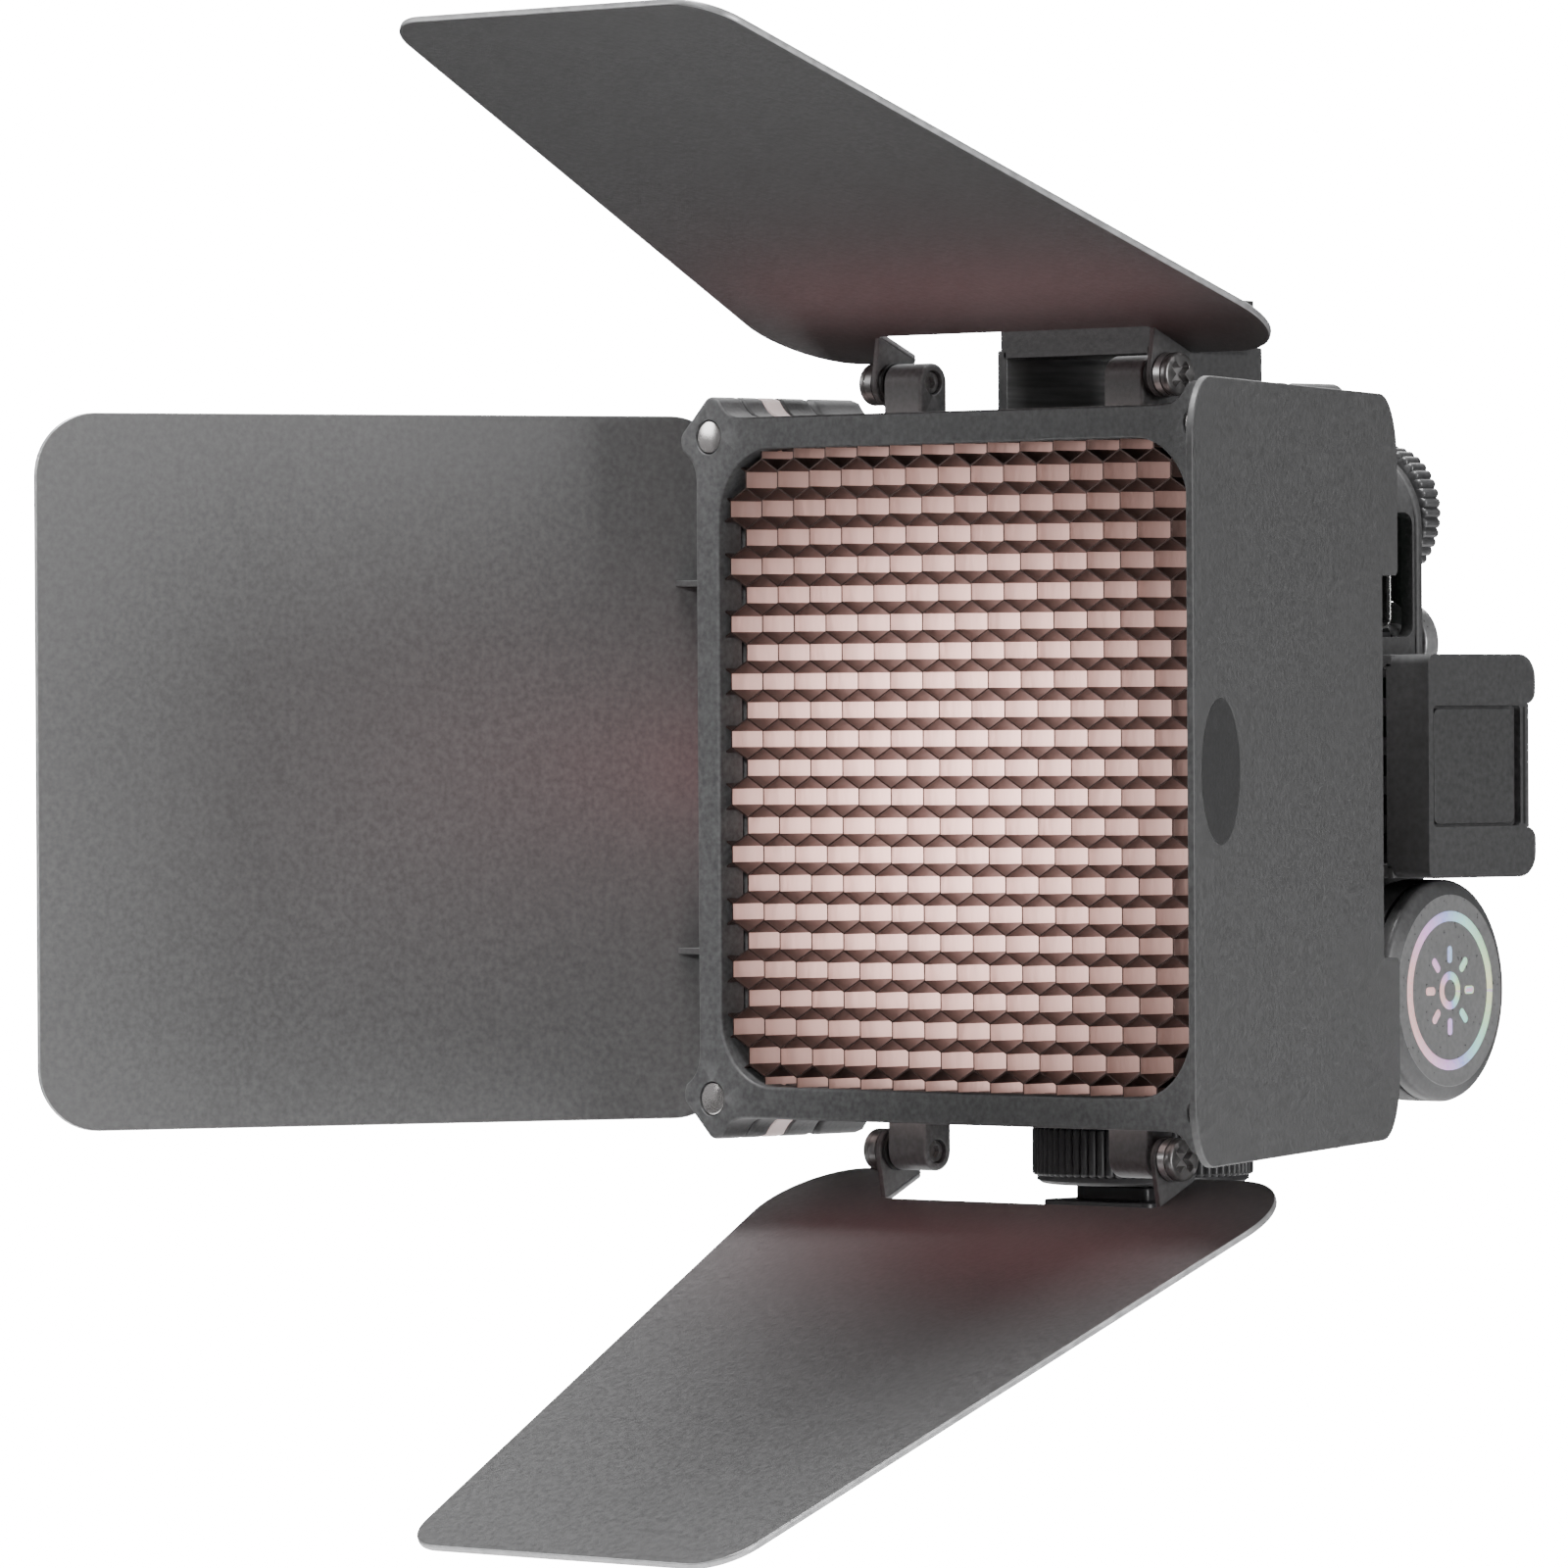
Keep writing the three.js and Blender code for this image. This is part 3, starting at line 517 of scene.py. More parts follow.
def lathe(profile, sides=64):
    """A body of revolution about Y, from (radius, y) points; it closes on the axis or on itself."""
    bm = bmesh.new()
    turns = [TAU * i / sides for i in range(sides)]
    rings = []
    for radius, y in profile:
        if radius < 1e-6:
            rings.append([bm.verts.new((0, y, 0))])
            continue
        rings.append([bm.verts.new((radius * math.cos(a), y, radius * math.sin(a))) for a in turns])
    pairs = list(zip(rings, rings[1:]))
    if len(rings[0]) > 1:
        pairs.append((rings[-1], rings[0]))
    for one, two in pairs:
        for i in range(sides):
            j = (i + 1) % sides
            corners = [one[i % len(one)], one[j % len(one)], two[j % len(two)], two[i % len(two)]]
            unique = list(dict.fromkeys(corners))
            if len(unique) > 2:
                bm.faces.new(unique)
    return bm


def merge(*parts):
    """Several meshes as one."""
    first = parts[0]
    for other in parts[1:]:
        scratch = bpy.data.meshes.new("scratch")
        other.to_mesh(scratch)
        other.free()
        first.from_mesh(scratch)
        bpy.data.meshes.remove(scratch)
    return first


def moved(bm, matrix):
    bm.transform(matrix)
    return bm


def carve(bm, cutters, ease=0.0):
    """Cuts shapes out of a mesh, with an exact boolean, and eases the edges that it leaves."""
    objects = []
    for mesh_source in [bm, *cutters]:
        bmesh.ops.recalc_face_normals(mesh_source, faces=mesh_source.faces)
        mesh = bpy.data.meshes.new("scratch")
        mesh_source.to_mesh(mesh)
        mesh_source.free()
        scratch = bpy.data.objects.new("scratch", mesh)
        bpy.context.scene.collection.objects.link(scratch)
        objects.append(scratch)
    base = objects[0]
    for cutter in objects[1:]:
        modifier = base.modifiers.new("cut", "BOOLEAN")
        modifier.operation = "DIFFERENCE"
        modifier.solver = "EXACT"
        modifier.object = cutter
    if ease:
        modifier = base.modifiers.new("ease", "BEVEL")
        modifier.width = ease
        modifier.segments = 2
        modifier.limit_method = "ANGLE"
        modifier.angle_limit = math.radians(40)
    bpy.context.view_layer.update()
    evaluated = base.evaluated_get(bpy.context.evaluated_depsgraph_get())
    result = bmesh.new()
    result.from_mesh(evaluated.to_mesh())
    evaluated.to_mesh_clear()
    for scratch in objects:
        mesh = scratch.data
        bpy.data.objects.remove(scratch)
        bpy.data.meshes.remove(mesh)
    return result


def piece(name, bm, look, body="housing", nodes=(), edge_look=None, sharp=38):
    """Makes a finished piece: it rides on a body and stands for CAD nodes."""
    bmesh.ops.recalc_face_normals(bm, faces=bm.faces)
    bm.transform(LIGHT)
    mesh = bpy.data.meshes.new(name)
    bm.to_mesh(mesh)
    bm.free()
    mesh.materials.append(LOOK[look])
    if edge_look:
        mesh.materials.append(LOOK[edge_look])
    mesh.polygons.foreach_set("use_smooth", [True] * len(mesh.polygons))
    mesh.set_sharp_from_angle(angle=math.radians(sharp))
    made = bpy.data.objects.new(name, mesh)
    bpy.context.scene.collection.objects.link(made)
    normals = made.modifiers.new("normals", "WEIGHTED_NORMAL")
    normals.keep_sharp = True
    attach(made, body)
    if nodes:
        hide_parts(*nodes)
    return made


# ------------------------------------------------------------------ the stack of square frames

def eared_plate(name, node, hole, look, ease=0.35):
    """One slice of the stack, where its CAD node is."""
    loops = [eared()] + ([hole] if hole else [])
    piece(name, slab(loops, *span_y(node), bevel=ease), look, nodes=[node])


CORNERS = [(1, 1), (-1, 1), (-1, -1), (1, -1)]


def grid():
    """The front frame with its four magnets, and the slice behind it."""
    opening = square(OPENING, OPENING_R)
    sockets = [circle(MAGNET_R + 0.15, (x * MAGNET_AT, z * MAGNET_AT), 32) for x, z in CORNERS]
    front = slab([eared(), opening] + sockets, *span_y("grid_frame"), bevel=[0.4, 0.45] + [0.12] * 4)
    piece("grid_front", front, "frame", nodes=["grid_frame"])
    eared_plate("grid_back", "grid_rear_frame", opening, "frame")
    for number, (x, z) in enumerate(CORNERS, 1):
        node = f"grid_magnet_{number}"
        low, high = span_y(node)
        disc = lathe([(0, low), (MAGNET_R - 0.3, low), (MAGNET_R - 0.08, low + 0.08),
                      (MAGNET_R, low + 0.3), (MAGNET_R, high), (0, high)], 40)
        moved(disc, Matrix.Translation((x * MAGNET_AT, 0, z * MAGNET_AT)))
        piece(f"magnet_{number}", disc, "magnet", nodes=[node])


# Honeycomb: pitch along a row, pitch between rows, height of an upright wall and thickness of the foil.
CELL_PITCH = 5.7
CELL_ROW = 3.7
CELL_UPRIGHT = 2.16
CELL_WALL = 0.2


def cell_walls(bm, reach, low, high):
    """Every cell's six walls. Returns the places where cells meet: at corners, and along shared walls."""
    half_width = CELL_PITCH / 2
    half_wall = CELL_UPRIGHT / 2
    tip = CELL_ROW - half_wall
    corners = [Vector(p) for p in ((half_width, -half_wall), (half_width, half_wall), (0, tip),
                                   (-half_width, half_wall), (-half_width, -half_wall), (0, -tip))]
    inner = inset(corners, CELL_WALL / 2)
    columns = math.ceil(reach / CELL_PITCH) + 1
    rows = math.ceil(reach / CELL_ROW) + 1
    joints, borders = {}, {}
    for row in range(-rows, rows + 1):
        shift = 0 if row % 2 == 0 else half_width
        for column in range(-columns, columns + 1):
            centre = Vector((column * CELL_PITCH + shift, row * CELL_ROW))
            near = [bm.verts.new(((centre + p).x, low, (centre + p).y)) for p in inner]
            far = [bm.verts.new(((centre + p).x, high, (centre + p).y)) for p in inner]
            for i in range(6):
                j = (i + 1) % 6
                wall = bm.faces.new((near[i], near[j], far[j], far[i]))
                # Slanting walls take the darker foil look as painted shade; upright walls stay bright.
                wall.material_index = int(i % 3 != 0)
                node = centre + corners[i]
                edge = centre + (corners[i] + corners[j]) / 2
                joints.setdefault((round(node.x, 2), round(node.y, 2)), []).append((near[i], far[i]))
                shared = borders.setdefault((round(edge.x, 2), round(edge.y, 2)), [])
                shared.append((near[i], near[j], far[i], far[j]))
    return joints.values(), borders.values()


def foil_rims(bm, joints, borders):
    """The foil's cut edges, front and back, between the cells."""
    rims = []
    for meeting in joints:
        if len(meeting) == 3:
            rims.append([pair[0] for pair in meeting])
            rims.append([pair[1] for pair in meeting])
    for shared in borders:
        if len(shared) == 2:
            (a, b, c, d), (e, f, g, h) = shared
            rims.append((a, b, e, f))
            rims.append((c, d, g, h))
    for rim in rims:
        bm.faces.new(rim).material_index = 1


def honeycomb():
    """Foil walls between hexagonal cells: bright upright walls, with the slanting walls and the edges in a
    darker foil look, the slanting ones as painted shade.
    """
    low, high = span_y("honeycomb_core")
    reach = local_box("honeycomb_core")[0][1] - 0.05
    bm = bmesh.new()
    foil_rims(bm, *cell_walls(bm, reach, low, high))
    for axis in (Vector((1, 0, 0)), Vector((-1, 0, 0)), Vector((0, 0, 1)), Vector((0, 0, -1))):
        everything = bm.verts[:] + bm.edges[:] + bm.faces[:]
        bmesh.ops.bisect_plane(bm, geom=everything, plane_co=axis * reach, plane_no=axis, clear_outer=True)
        cut_edges = [edge for edge in bm.edges if edge.is_boundary]
        bmesh.ops.holes_fill(bm, edges=cut_edges, sides=0)
    piece("honeycomb_cells", bm, "foil", nodes=["honeycomb_core"],
          edge_look="foil_edge_and_painted_shade", sharp=20)


# ------------------------------------------------------------------ barn-door ring, hinges and doors

def side_matrix(side):
    """Turns what is drawn for the top side round to another side."""
    return Matrix.Rotation(math.radians(side["roll"]), 4, "Y")


def hinge_matrix(side):
    return side_matrix(side) @ Matrix.Translation((0, HINGE_Y, side["reach"]))


def leaf_matrix(side):
    return hinge_matrix(side) @ Matrix.Rotation(math.radians(-side["open"]), 4, "X")


MIRROR_X = Matrix.Diagonal((-1, 1, 1, 1))
LEFT_AND_RIGHT = (Matrix.Identity(4), MIRROR_X)
EDGE_TILT = 0.93


def lug(reach):
    """A hinge lug on the upper side: a stem with a round end, bored along X."""
    arc = [Vector((HINGE_Y + LUG_R * math.cos(a), reach + LUG_R * math.sin(a)))
           for a in (math.pi * i / 20 for i in range(21))]
    outline = [Vector((HINGE_Y + LUG_R, FRAME - 1)), *arc, Vector((HINGE_Y - LUG_R, FRAME - 1))]
    return slab([outline, circle(LUG_BORE, (HINGE_Y, reach), 32)], *LUG, plane="yz", bevel=[0.4, 0.15])


def ring():
    """The frame that carries the doors, with two lugs on each side."""
    whole = slab([eared(), square(OPENING, OPENING_R)], *span_y("barndoor_ring"), bevel=0.35)
    for side in SIDES:
        for flip in LEFT_AND_RIGHT:
            whole = merge(whole, moved(lug(side["reach"]), side_matrix(side) @ flip))
    piece("door_ring", whole, "frame", nodes=["barndoor_ring"])


def cross(arm, width):
    """A cross outline, for a screw's recess, turned by 45 degrees."""
    w = width / 2
    corners = [(arm, -w), (arm, w), (w, w), (w, arm), (-w, arm), (-w, w), (-arm, w), (-arm, -w), (-w, -w),
               (-w, -arm), (w, -arm), (w, -w)]
    s = math.sqrt(0.5)
    radii = [0.22 if max(abs(x), abs(y)) == arm else 0.12 for x, y in corners]
    return rounded([((x - y) * s, (x + y) * s, r) for (x, y), r in zip(corners, radii)], 3)


def hinge_screw():
    """A pan-head screw along X; its tip shows a hexagon in the lug's inner end."""
    inner, outer = HEAD_X
    floor = outer - 1.2
    rim, round_shank, hexagon = circle(HEAD_R, sides=56), circle(SHANK_R, sides=32), circle(0.85, sides=6)
    head = slab([rim, cross(1.85, 1.05)], floor, outer, "yz", bevel=[0.4, 0.08], steps=5)
    base = slab([rim], inner, floor + 0.02, "yz", bevel=0)
    shank = slab([round_shank], LUG[0] + 1.3, inner + 0.1, "yz", bevel=0)
    tip = slab([round_shank, hexagon], LUG[0] + 0.5, LUG[0] + 1.3, "yz", bevel=[0.15, 0.05])
    return merge(head, base, shank, tip)


def hinge_washers():
    """One washer between lug and ear, and a thinner one under the screw's head."""
    bore = circle(FLAP_BORE, sides=32)
    inner = slab([circle(2.6, sides=48), bore], 22.8, 23.4, "yz", bevel=0.12)
    outer = slab([circle(2.3, sides=48), bore], 24.42, 24.62, "yz", bevel=0.05)
    return merge(inner, outer)


def flap():
    """The bent ear of a door: a web that narrows from the fold to a round eye."""
    fold = [Vector((-4.4, SHEET_OFF)), Vector((DOOR_TAIL - 0.3, SHEET_OFF))]
    outline = hull(circle(FLAP_R, sides=56) + fold)
    return slab([outline, circle(FLAP_BORE, sides=32)], *FLAP_X, plane="yz", bevel=0.12)


def door_sheet(door):
    """A door lying straight ahead, its hinge axis along X through the origin.

    Its cut edge has a look of its own, which on most doors is a painted highlight.
    """
    back = DOOR_TAIL
    front = back - door["length"]
    inner = FLAP_X[0]
    outline = rounded([
        (-door["tip"], front, door["tip_r"]),
        (-door["tail"], back, door["tail_r"]),
        (-inner, back, 1),
        (-inner, back - door["notch"], 0.6),
        (inner, back - door["notch"], 0.6),
        (inner, back, 1),
        (door["tail"], back, door["tail_r"]),
        (door["tip"], front, door["tip_r"]),
    ], 14)
    low = SHEET_OFF - SHEET / 2
    sheet = slab([outline], low, low + SHEET, "xy", bevel=0.22, steps=3)
    sheet.normal_update()
    # Cut-edge faces take the second look, a painted highlight on most doors.
    for face in sheet.faces:
        face.material_index = int(abs(face.normal.z) < EDGE_TILT)
    return sheet


def doors():
    for side in SIDES:
        name = side["name"]
        leaf = merge(door_sheet(side["door"]), flap(), moved(flap(), MIRROR_X))
        piece(f"barn_door_{name}", moved(leaf, leaf_matrix(side)), "door", f"door_{name}",
              [f"door_{name}"], edge_look=side["edge"])
        for number, flip in enumerate(LEFT_AND_RIGHT, 1):
            to_hinge = hinge_matrix(side) @ flip
            piece(f"screw_{name}_{number}", moved(hinge_screw(), to_hinge), "screw",
                  nodes=[f"hinge_screw_{name}_{number}"])
            piece(f"washers_{name}_{number}", moved(hinge_washers(), to_hinge), "washer",
                  nodes=[f"hinge_washer_{name}_{number}"])


DISC_R = 8.55
DISC_FROM_TIP = 11.7


def door_disc():
    """A plain round badge blank on the outer face of the right door."""
    top = SHEET_OFF + SHEET / 2
    middle = (0, DOOR_TAIL - RIGHT["door"]["length"] + DISC_FROM_TIP)
    disc = slab([circle(DISC_R, middle, 72)], top - 0.05, top + 0.04, "xy", bevel=0.02, steps=2)
    piece("door_disc", moved(disc, leaf_matrix(RIGHT)), "disc", "door_right")


# ------------------------------------------------------------------ housing

# Vents, how far the shell's ends lie ahead of the cover, its screws, the side window (Y and Z) and the
# side knob, whose axis leans by its tilt.
SLOT_PITCH = 4.9
SLOT_HALF = 1.3
SLOT_Y = (29.5, 41.5)
SHELL_ENDS = (16.8, 0.3)
SCREW_AT = [(-35, 35), (-35, -35), (35, -35), (8, 36)]
WINDOW = ((34, 43.1), (16.2, 31.9))
KNOB = {"at": (51.6, 35.1, -28.1), "r": 13.9, "tilt": 9}


def slot_cutters(roll):
    """Five vents in the side that the roll turns to the right."""
    cutters = []
    for step in range(-2, 3):
        z = step * SLOT_PITCH
        outline = rectangle(SLOT_Y, (z - SLOT_HALF, z + SLOT_HALF), 0.7, 4)
        cutter = slab([outline], BODY - 5, BODY + 3, "yz", bevel=0)
        cutters.append(moved(cutter, Matrix.Rotation(math.radians(roll), 4, "Y")))
    return cutters


def housing():
    """The vented shell, with the mount's boss below and the side knob's barrel."""
    low, high = (span_y("rear_cover")[0] - end for end in SHELL_ENDS)
    shell = slab([square(BODY, BODY_R), square(BODY - WALL, BODY_R - WALL)], low, high, bevel=0)
    window = slab([rectangle(*WINDOW, 1.5)], BODY - 4, BODY + 2, "yz", bevel=0)
    cutters = slot_cutters(0) + slot_cutters(-90) + slot_cutters(180) + [window]
    shell = carve(shell, cutters, 0.3)
    boss = moved(lathe([(0, 38.5), (8, 38.5), (8, 45.4), (7.7, 45.8), (0, 45.8)], 48),
                 Matrix.Translation((0, MOUNT_Y, 0)) @ Matrix.Rotation(-math.pi / 2, 4, "X"))
    piece("housing_shell", merge(shell, boss, knob_boss()), "body", nodes=["rear_housing"])


def knob_matrix():
    """Local Y along the knob's axis, which leans towards the back of the light."""
    return Matrix.Translation(KNOB["at"]) @ Matrix.Rotation(math.radians(KNOB["tilt"] - 90), 4, "Z")


def knob_boss():
    """The barrel behind the side knob, cut square to the knob's axis."""
    _, y, z = KNOB["at"]
    along_x = Matrix.Translation((0, y, z)) @ Matrix.Rotation(-math.pi / 2, 4, "Z")
    neck = moved(lathe([(0, 39), (7.4, 39), (7.4, 46.4), (0, 46.4)], 48), along_x)
    r = KNOB["r"]
    barrel = moved(lathe([(0, 45.6), (r - 0.5, 45.6), (r, 46.1), (r, 58), (0, 58)], 96), along_x)
    end = moved(slab([square(30, 0)], -2.1, 20, bevel=0), knob_matrix())
    return merge(neck, carve(barrel, [end], 0.3))


SCREEN_GAP = 0.3


def rear_cover():
    """The back plate, bored for the dial, the button, the screen and its screws."""
    dial_at, button_at = local_middle("dial_knob"), local_middle("push_button")
    (x0, x1), _, (z0, z1) = local_box("display_window")
    holes = [circle(3.3, (dial_at.x, dial_at.z), 40), circle(5.5, (button_at.x, button_at.z), 48)]
    holes += [circle(1.3, at, 24) for at in SCREW_AT]
    holes.append(rectangle((x0 - SCREEN_GAP, x1 + SCREEN_GAP), (z0 - SCREEN_GAP, z1 + SCREEN_GAP), 1.2))
    bevels = [0.5] + [0.2] * len(holes)
    piece("back_cover", slab([square(BODY, BODY_R)] + holes, *span_y("rear_cover"), bevel=bevels), "body",
          nodes=["rear_cover"])


def display():
    """A black window with a level bar and plain bars above it."""
    (x0, x1), (y0, y1), (z0, z1) = local_box("display_window")
    piece("display_glass", slab([rectangle((x0, x1), (z0, z1), 1.0)], y0, y1, bevel=0.15), "glass_black",
          nodes=["display_window"])
    ink = (y1 - 0.05, y1 + 0.03)
    marks = slab([rectangle((x0 + 2, x1 - 2), (z0 + 2, z0 + 4), 0.4)], *ink, bevel=0)
    for number in range(6):
        x = x0 + 3 + number * 4
        tick = rectangle((x, x + 2.4), (z0 + 6, z0 + 7.2 + number * 0.9), 0.2)
        marks = merge(marks, slab([tick], *ink, bevel=0))
    piece("display_marks", marks, "ink")


def cover_screws():
    for number, (x, z) in enumerate(SCREW_AT, 1):
        head = slab([circle(2, sides=40), cross(1.15, 0.6)], 45.5, 46.4, bevel=[0.5, 0.06], steps=4)
        base = slab([circle(2, sides=40)], 45.35, 45.52, bevel=0)
        shank = slab([circle(1, sides=20)], 36.5, 45.4, bevel=0)
        screw = moved(merge(head, base, shank), Matrix.Translation((x, 0, z)))
        piece(f"back_screw_{number}", screw, "screw", nodes=[f"cover_screw_{number}"])


# ------------------------------------------------------------------ accessory brackets

FACING = 0.9


def bracket_meshes():
    """The side bracket, its pad, and a thin dark strip of painted shade beside its recess.

    The bracket is a plate with a recess and rear lobes, on two legs whose inner faces are brushed metal,
    made lighter as painted light.
    """
    y0, y1 = span_y("side_bracket")
    h, lobe, out = BRACKET_HALF, 7.7, BRACKET_OUT
    inner = out - BRACKET_PLATE
    outline = rounded([
        (y0, -h, 1.2), (y1, -h, 3), (y1, -lobe, 1.6), (y1 - 1.3, -lobe, 0),
        (y1 - 1.3, lobe, 0), (y1, lobe, 1.6), (y1, h, 3), (y0, h, 1.2),
    ], 8)
    recess = slab([rectangle((y0 + 0.9, y0 + 17.3), (-7.5, 7.5), 0.6)], out - 1, out + 1, "yz", bevel=0)
    top = carve(slab([outline], inner, out, "yz", bevel=0), [recess], 0.45)
    # Painted shade: a thin dark strip on the outer face, where the recess's far wall falls in shadow.
    line = rectangle((y0 + 17.8, y0 + 18.2), (-7.3, 7.3), 0.1)
    painted_shade_strip = slab([line], out - 0.03, out + 0.02, "yz", bevel=0)
    raised = rectangle((y0 + 1.25, y0 + 16.3), (-7.15, 7.15), 0.9)
    pad = slab([raised], out - 1, out - 0.2, "yz", bevel=0.12)
    legs = []
    for side in (-1, 1):
        across = sorted((side * (h - BRACKET_LEG), side * h))
        near = slab([rectangle((y0, y1 - 0.2), across, 0.2, 2)], FRAME + 0.4, inner + 1, "yz", bevel=0.25)
        far = slab([rectangle((27, y1 - 0.2), across, 0.2, 2)], BODY + 0.25, FRAME + 1, "yz", bevel=0.25)
        legs += [near, far]
        for leg in (near, far):
            leg.normal_update()
            for face in leg.faces:
                # Inner faces of the legs take the brushed look, lighter as painted light.
                face.material_index = int(face.normal.z * side < -FACING)
    return merge(top, *legs), pad, painted_shade_strip


def brackets():
    for name, roll in (("side", 0), ("top", -90)):
        frame_part, pad, painted_shade_strip = bracket_meshes()
        turn = Matrix.Rotation(math.radians(roll), 4, "Y")
        piece(f"{name}_bridge", moved(frame_part, turn), "bracket",
              nodes=[f"{name}_bracket"], edge_look="brushed_painted_light")
        piece(f"{name}_pad", moved(pad, turn), "bracket")
        # The dark strip is painted shade.
        piece(f"{name}_groove_painted_shade", moved(painted_shade_strip, turn), "washer")


# ------------------------------------------------------------------ controls

def dial():
    """A knurled grip with a raised ring and a pointer line, on its shaft."""
    y1 = span_y("dial_knob")[1]
    centre = local_middle("dial_knob")
    grip = slab([knurled(8.75, 0.45, 40)], y1 - 3.2, y1, bevel=0.5, steps=4)
    cap = slab([circle(6.6, sides=64), circle(5.9, sides=64)], y1 - 0.3, y1, bevel=0.1)
    pointer = slab([rectangle((-0.35, 0.35), (3.2, 5.4), 0.3)], y1 - 0.2, y1 + 0.02, bevel=0)
    shaft = slab([circle(3, sides=32)], 41.2, y1 - 3.1, bevel=0)
    to = Matrix.Translation((centre.x, 0, centre.z))
    piece("rear_dial", moved(merge(grip, cap, shaft), to), "dial", "dial", ["dial_knob"])
    piece("rear_dial_mark", moved(pointer, to), "ink", "dial")


def button():
    """A domed button on its stem."""
    y1 = span_y("push_button")[1]
    centre = local_middle("push_button")
    r, back = 5.3, y1 - 4.5
    dome = [(r - 0.6, back + 3.05), (r - 1.3, back + 3.65), (r - 2.2, back + 4.1),
            (r - 3.4, back + 4.4), (0, y1)]
    profile = [(0, 42.9), (2.6, 42.9), (2.6, back), (r - 0.3, back), (r, back + 0.3), (r, back + 2.3),
               (r - 0.15, back + 2.6), *dome]
    cap = moved(lathe(profile, 72), Matrix.Translation((centre.x, 0, centre.z)))
    piece("rear_button", cap, "satin", "button", ["push_button"], sharp=50)


def store_turn(made, matrix):
    """Keeps each corner's turn about the knob's axis, from 0 to 1, for the iridescent foil."""
    inverse = (LIGHT @ matrix).inverted()
    turns = []
    for vertex in made.data.vertices:
        at = inverse @ vertex.co
        turns.append((math.atan2(at.z, -at.x) / TAU) % 1.0)
    attribute = made.data.attributes.new("turn", "FLOAT", "POINT")
    attribute.data.foreach_set("value", turns)


KNOB_FACE = 1.1
KNOB_RIM = 1.9


def inlay(loops):
    """Foil set into the side knob's face."""
    return slab(loops, KNOB_FACE - 0.1, KNOB_FACE + 0.05, bevel=0.02, steps=2)


def foil_piece(name, bm, matrix):
    store_turn(piece(name, moved(bm, matrix), "iridescent", "side_dial"), matrix)


def side_knob():
    """A flat face inside a chamfered rim coloured darker as painted shade, with an iridescent band and a
    sun-like mark.
    """
    r = KNOB["r"]
    disc = lathe([(0, -8.5), (2.5, -8.5), (2.5, -1.8), (r - 0.4, -1.8), (r, -1.4), (r, -0.1),
                  (r - 0.15, 0.25), (r - 0.5, 0.5), (r - KNOB_RIM, KNOB_FACE),
                  (r - KNOB_RIM - 0.15, KNOB_FACE + 0.02), (0, KNOB_FACE)], 128)
    disc.normal_update()
    # Painted shade: faces beyond the flat face take the darker rim colour.
    for part in disc.faces:
        centre = part.calc_center_median()
        part.material_index = int(math.hypot(centre.x, centre.z) > r - KNOB_RIM)
    matrix = knob_matrix()
    piece("side_dial_face", moved(disc, matrix), "satin", "side_dial", ["side_knob"],
          edge_look="rim", sharp=50)
    band = inlay([circle(r * 0.715, sides=144), circle(r * 0.625, sides=144)])
    foil_piece("side_dial_band", band, matrix)
    mark = inlay([circle(r * 0.17, sides=48), circle(r * 0.10, sides=48)])
    for number in range(8):
        ray = inlay([rectangle((-0.5, 0.5), (r * 0.25, r * 0.40), 0.45)])
        mark = merge(mark, moved(ray, Matrix.Rotation(TAU * number / 8, 4, "Y")))
    foil_piece("side_dial_mark", mark, matrix)


# ------------------------------------------------------------------ port, switch and shoe mount

PORT_WALL = 0.35
SWITCH_SLOT = ((37.6, 39.8), (27.6, 30.4))
RIB_PITCH = 0.42


def port():
    """A connector's steel tube, closed behind, with its tongue."""
    (x0, x1), (y0, y1), (z0, z1) = local_box("usb_port")
    shell = rectangle((y0, y1), (z0, z1), 1.5)
    throat = rectangle((y0 + PORT_WALL, y1 - PORT_WALL), (z0 + PORT_WALL, z1 - PORT_WALL), 1.15)
    tube = slab([shell, throat], x0 + 0.5, x1, "yz", bevel=[0.12, 0.08])
    back = slab([shell], x0, x0 + 0.52, "yz", bevel=0)
    outline = rectangle((y0 + 1.2, y0 + 2), (z0 + 1.4, z1 - 1.4), 0.2)
    tongue = slab([outline], x0 + 0.4, x1 - 1.2, "yz", bevel=0.08)
    piece("port_shell", merge(tube, back), "steel", nodes=["usb_port"])
    piece("port_tongue", tongue, "black")


def switch():
    """A slide switch: a steel box with a slot, and a ribbed nub."""
    (x0, x1), y, z = local_box("switch_body")
    box_mesh = slab([rectangle(y, z, 0.3), rectangle(*SWITCH_SLOT, 0.2)], x0, x1, "yz", bevel=[0.15, 0.08])
    piece("switch_shell", box_mesh, "steel", nodes=["switch_body"])
    (x0, x1), y, z = local_box("switch_slider")
    feet = [z[0] + RIB_PITCH * i for i in range(3)]
    ribs = [slab([rectangle(y, (foot, foot + 0.3), 0.08, 2)], x1 - 0.9, x1, "yz", bevel=0.06)
            for foot in feet]
    stem = slab([rectangle(y, z, 0.1, 2)], x0, x1 - 0.4, "yz", bevel=0.05)
    piece("switch_nub", merge(stem, *ribs), "black", "switch", ["switch_slider"])


WHEEL_R = 14.2
STUD_BORE = 3.3
FOOT_WIDE = 18.6
FOOT_NECK = 12.5


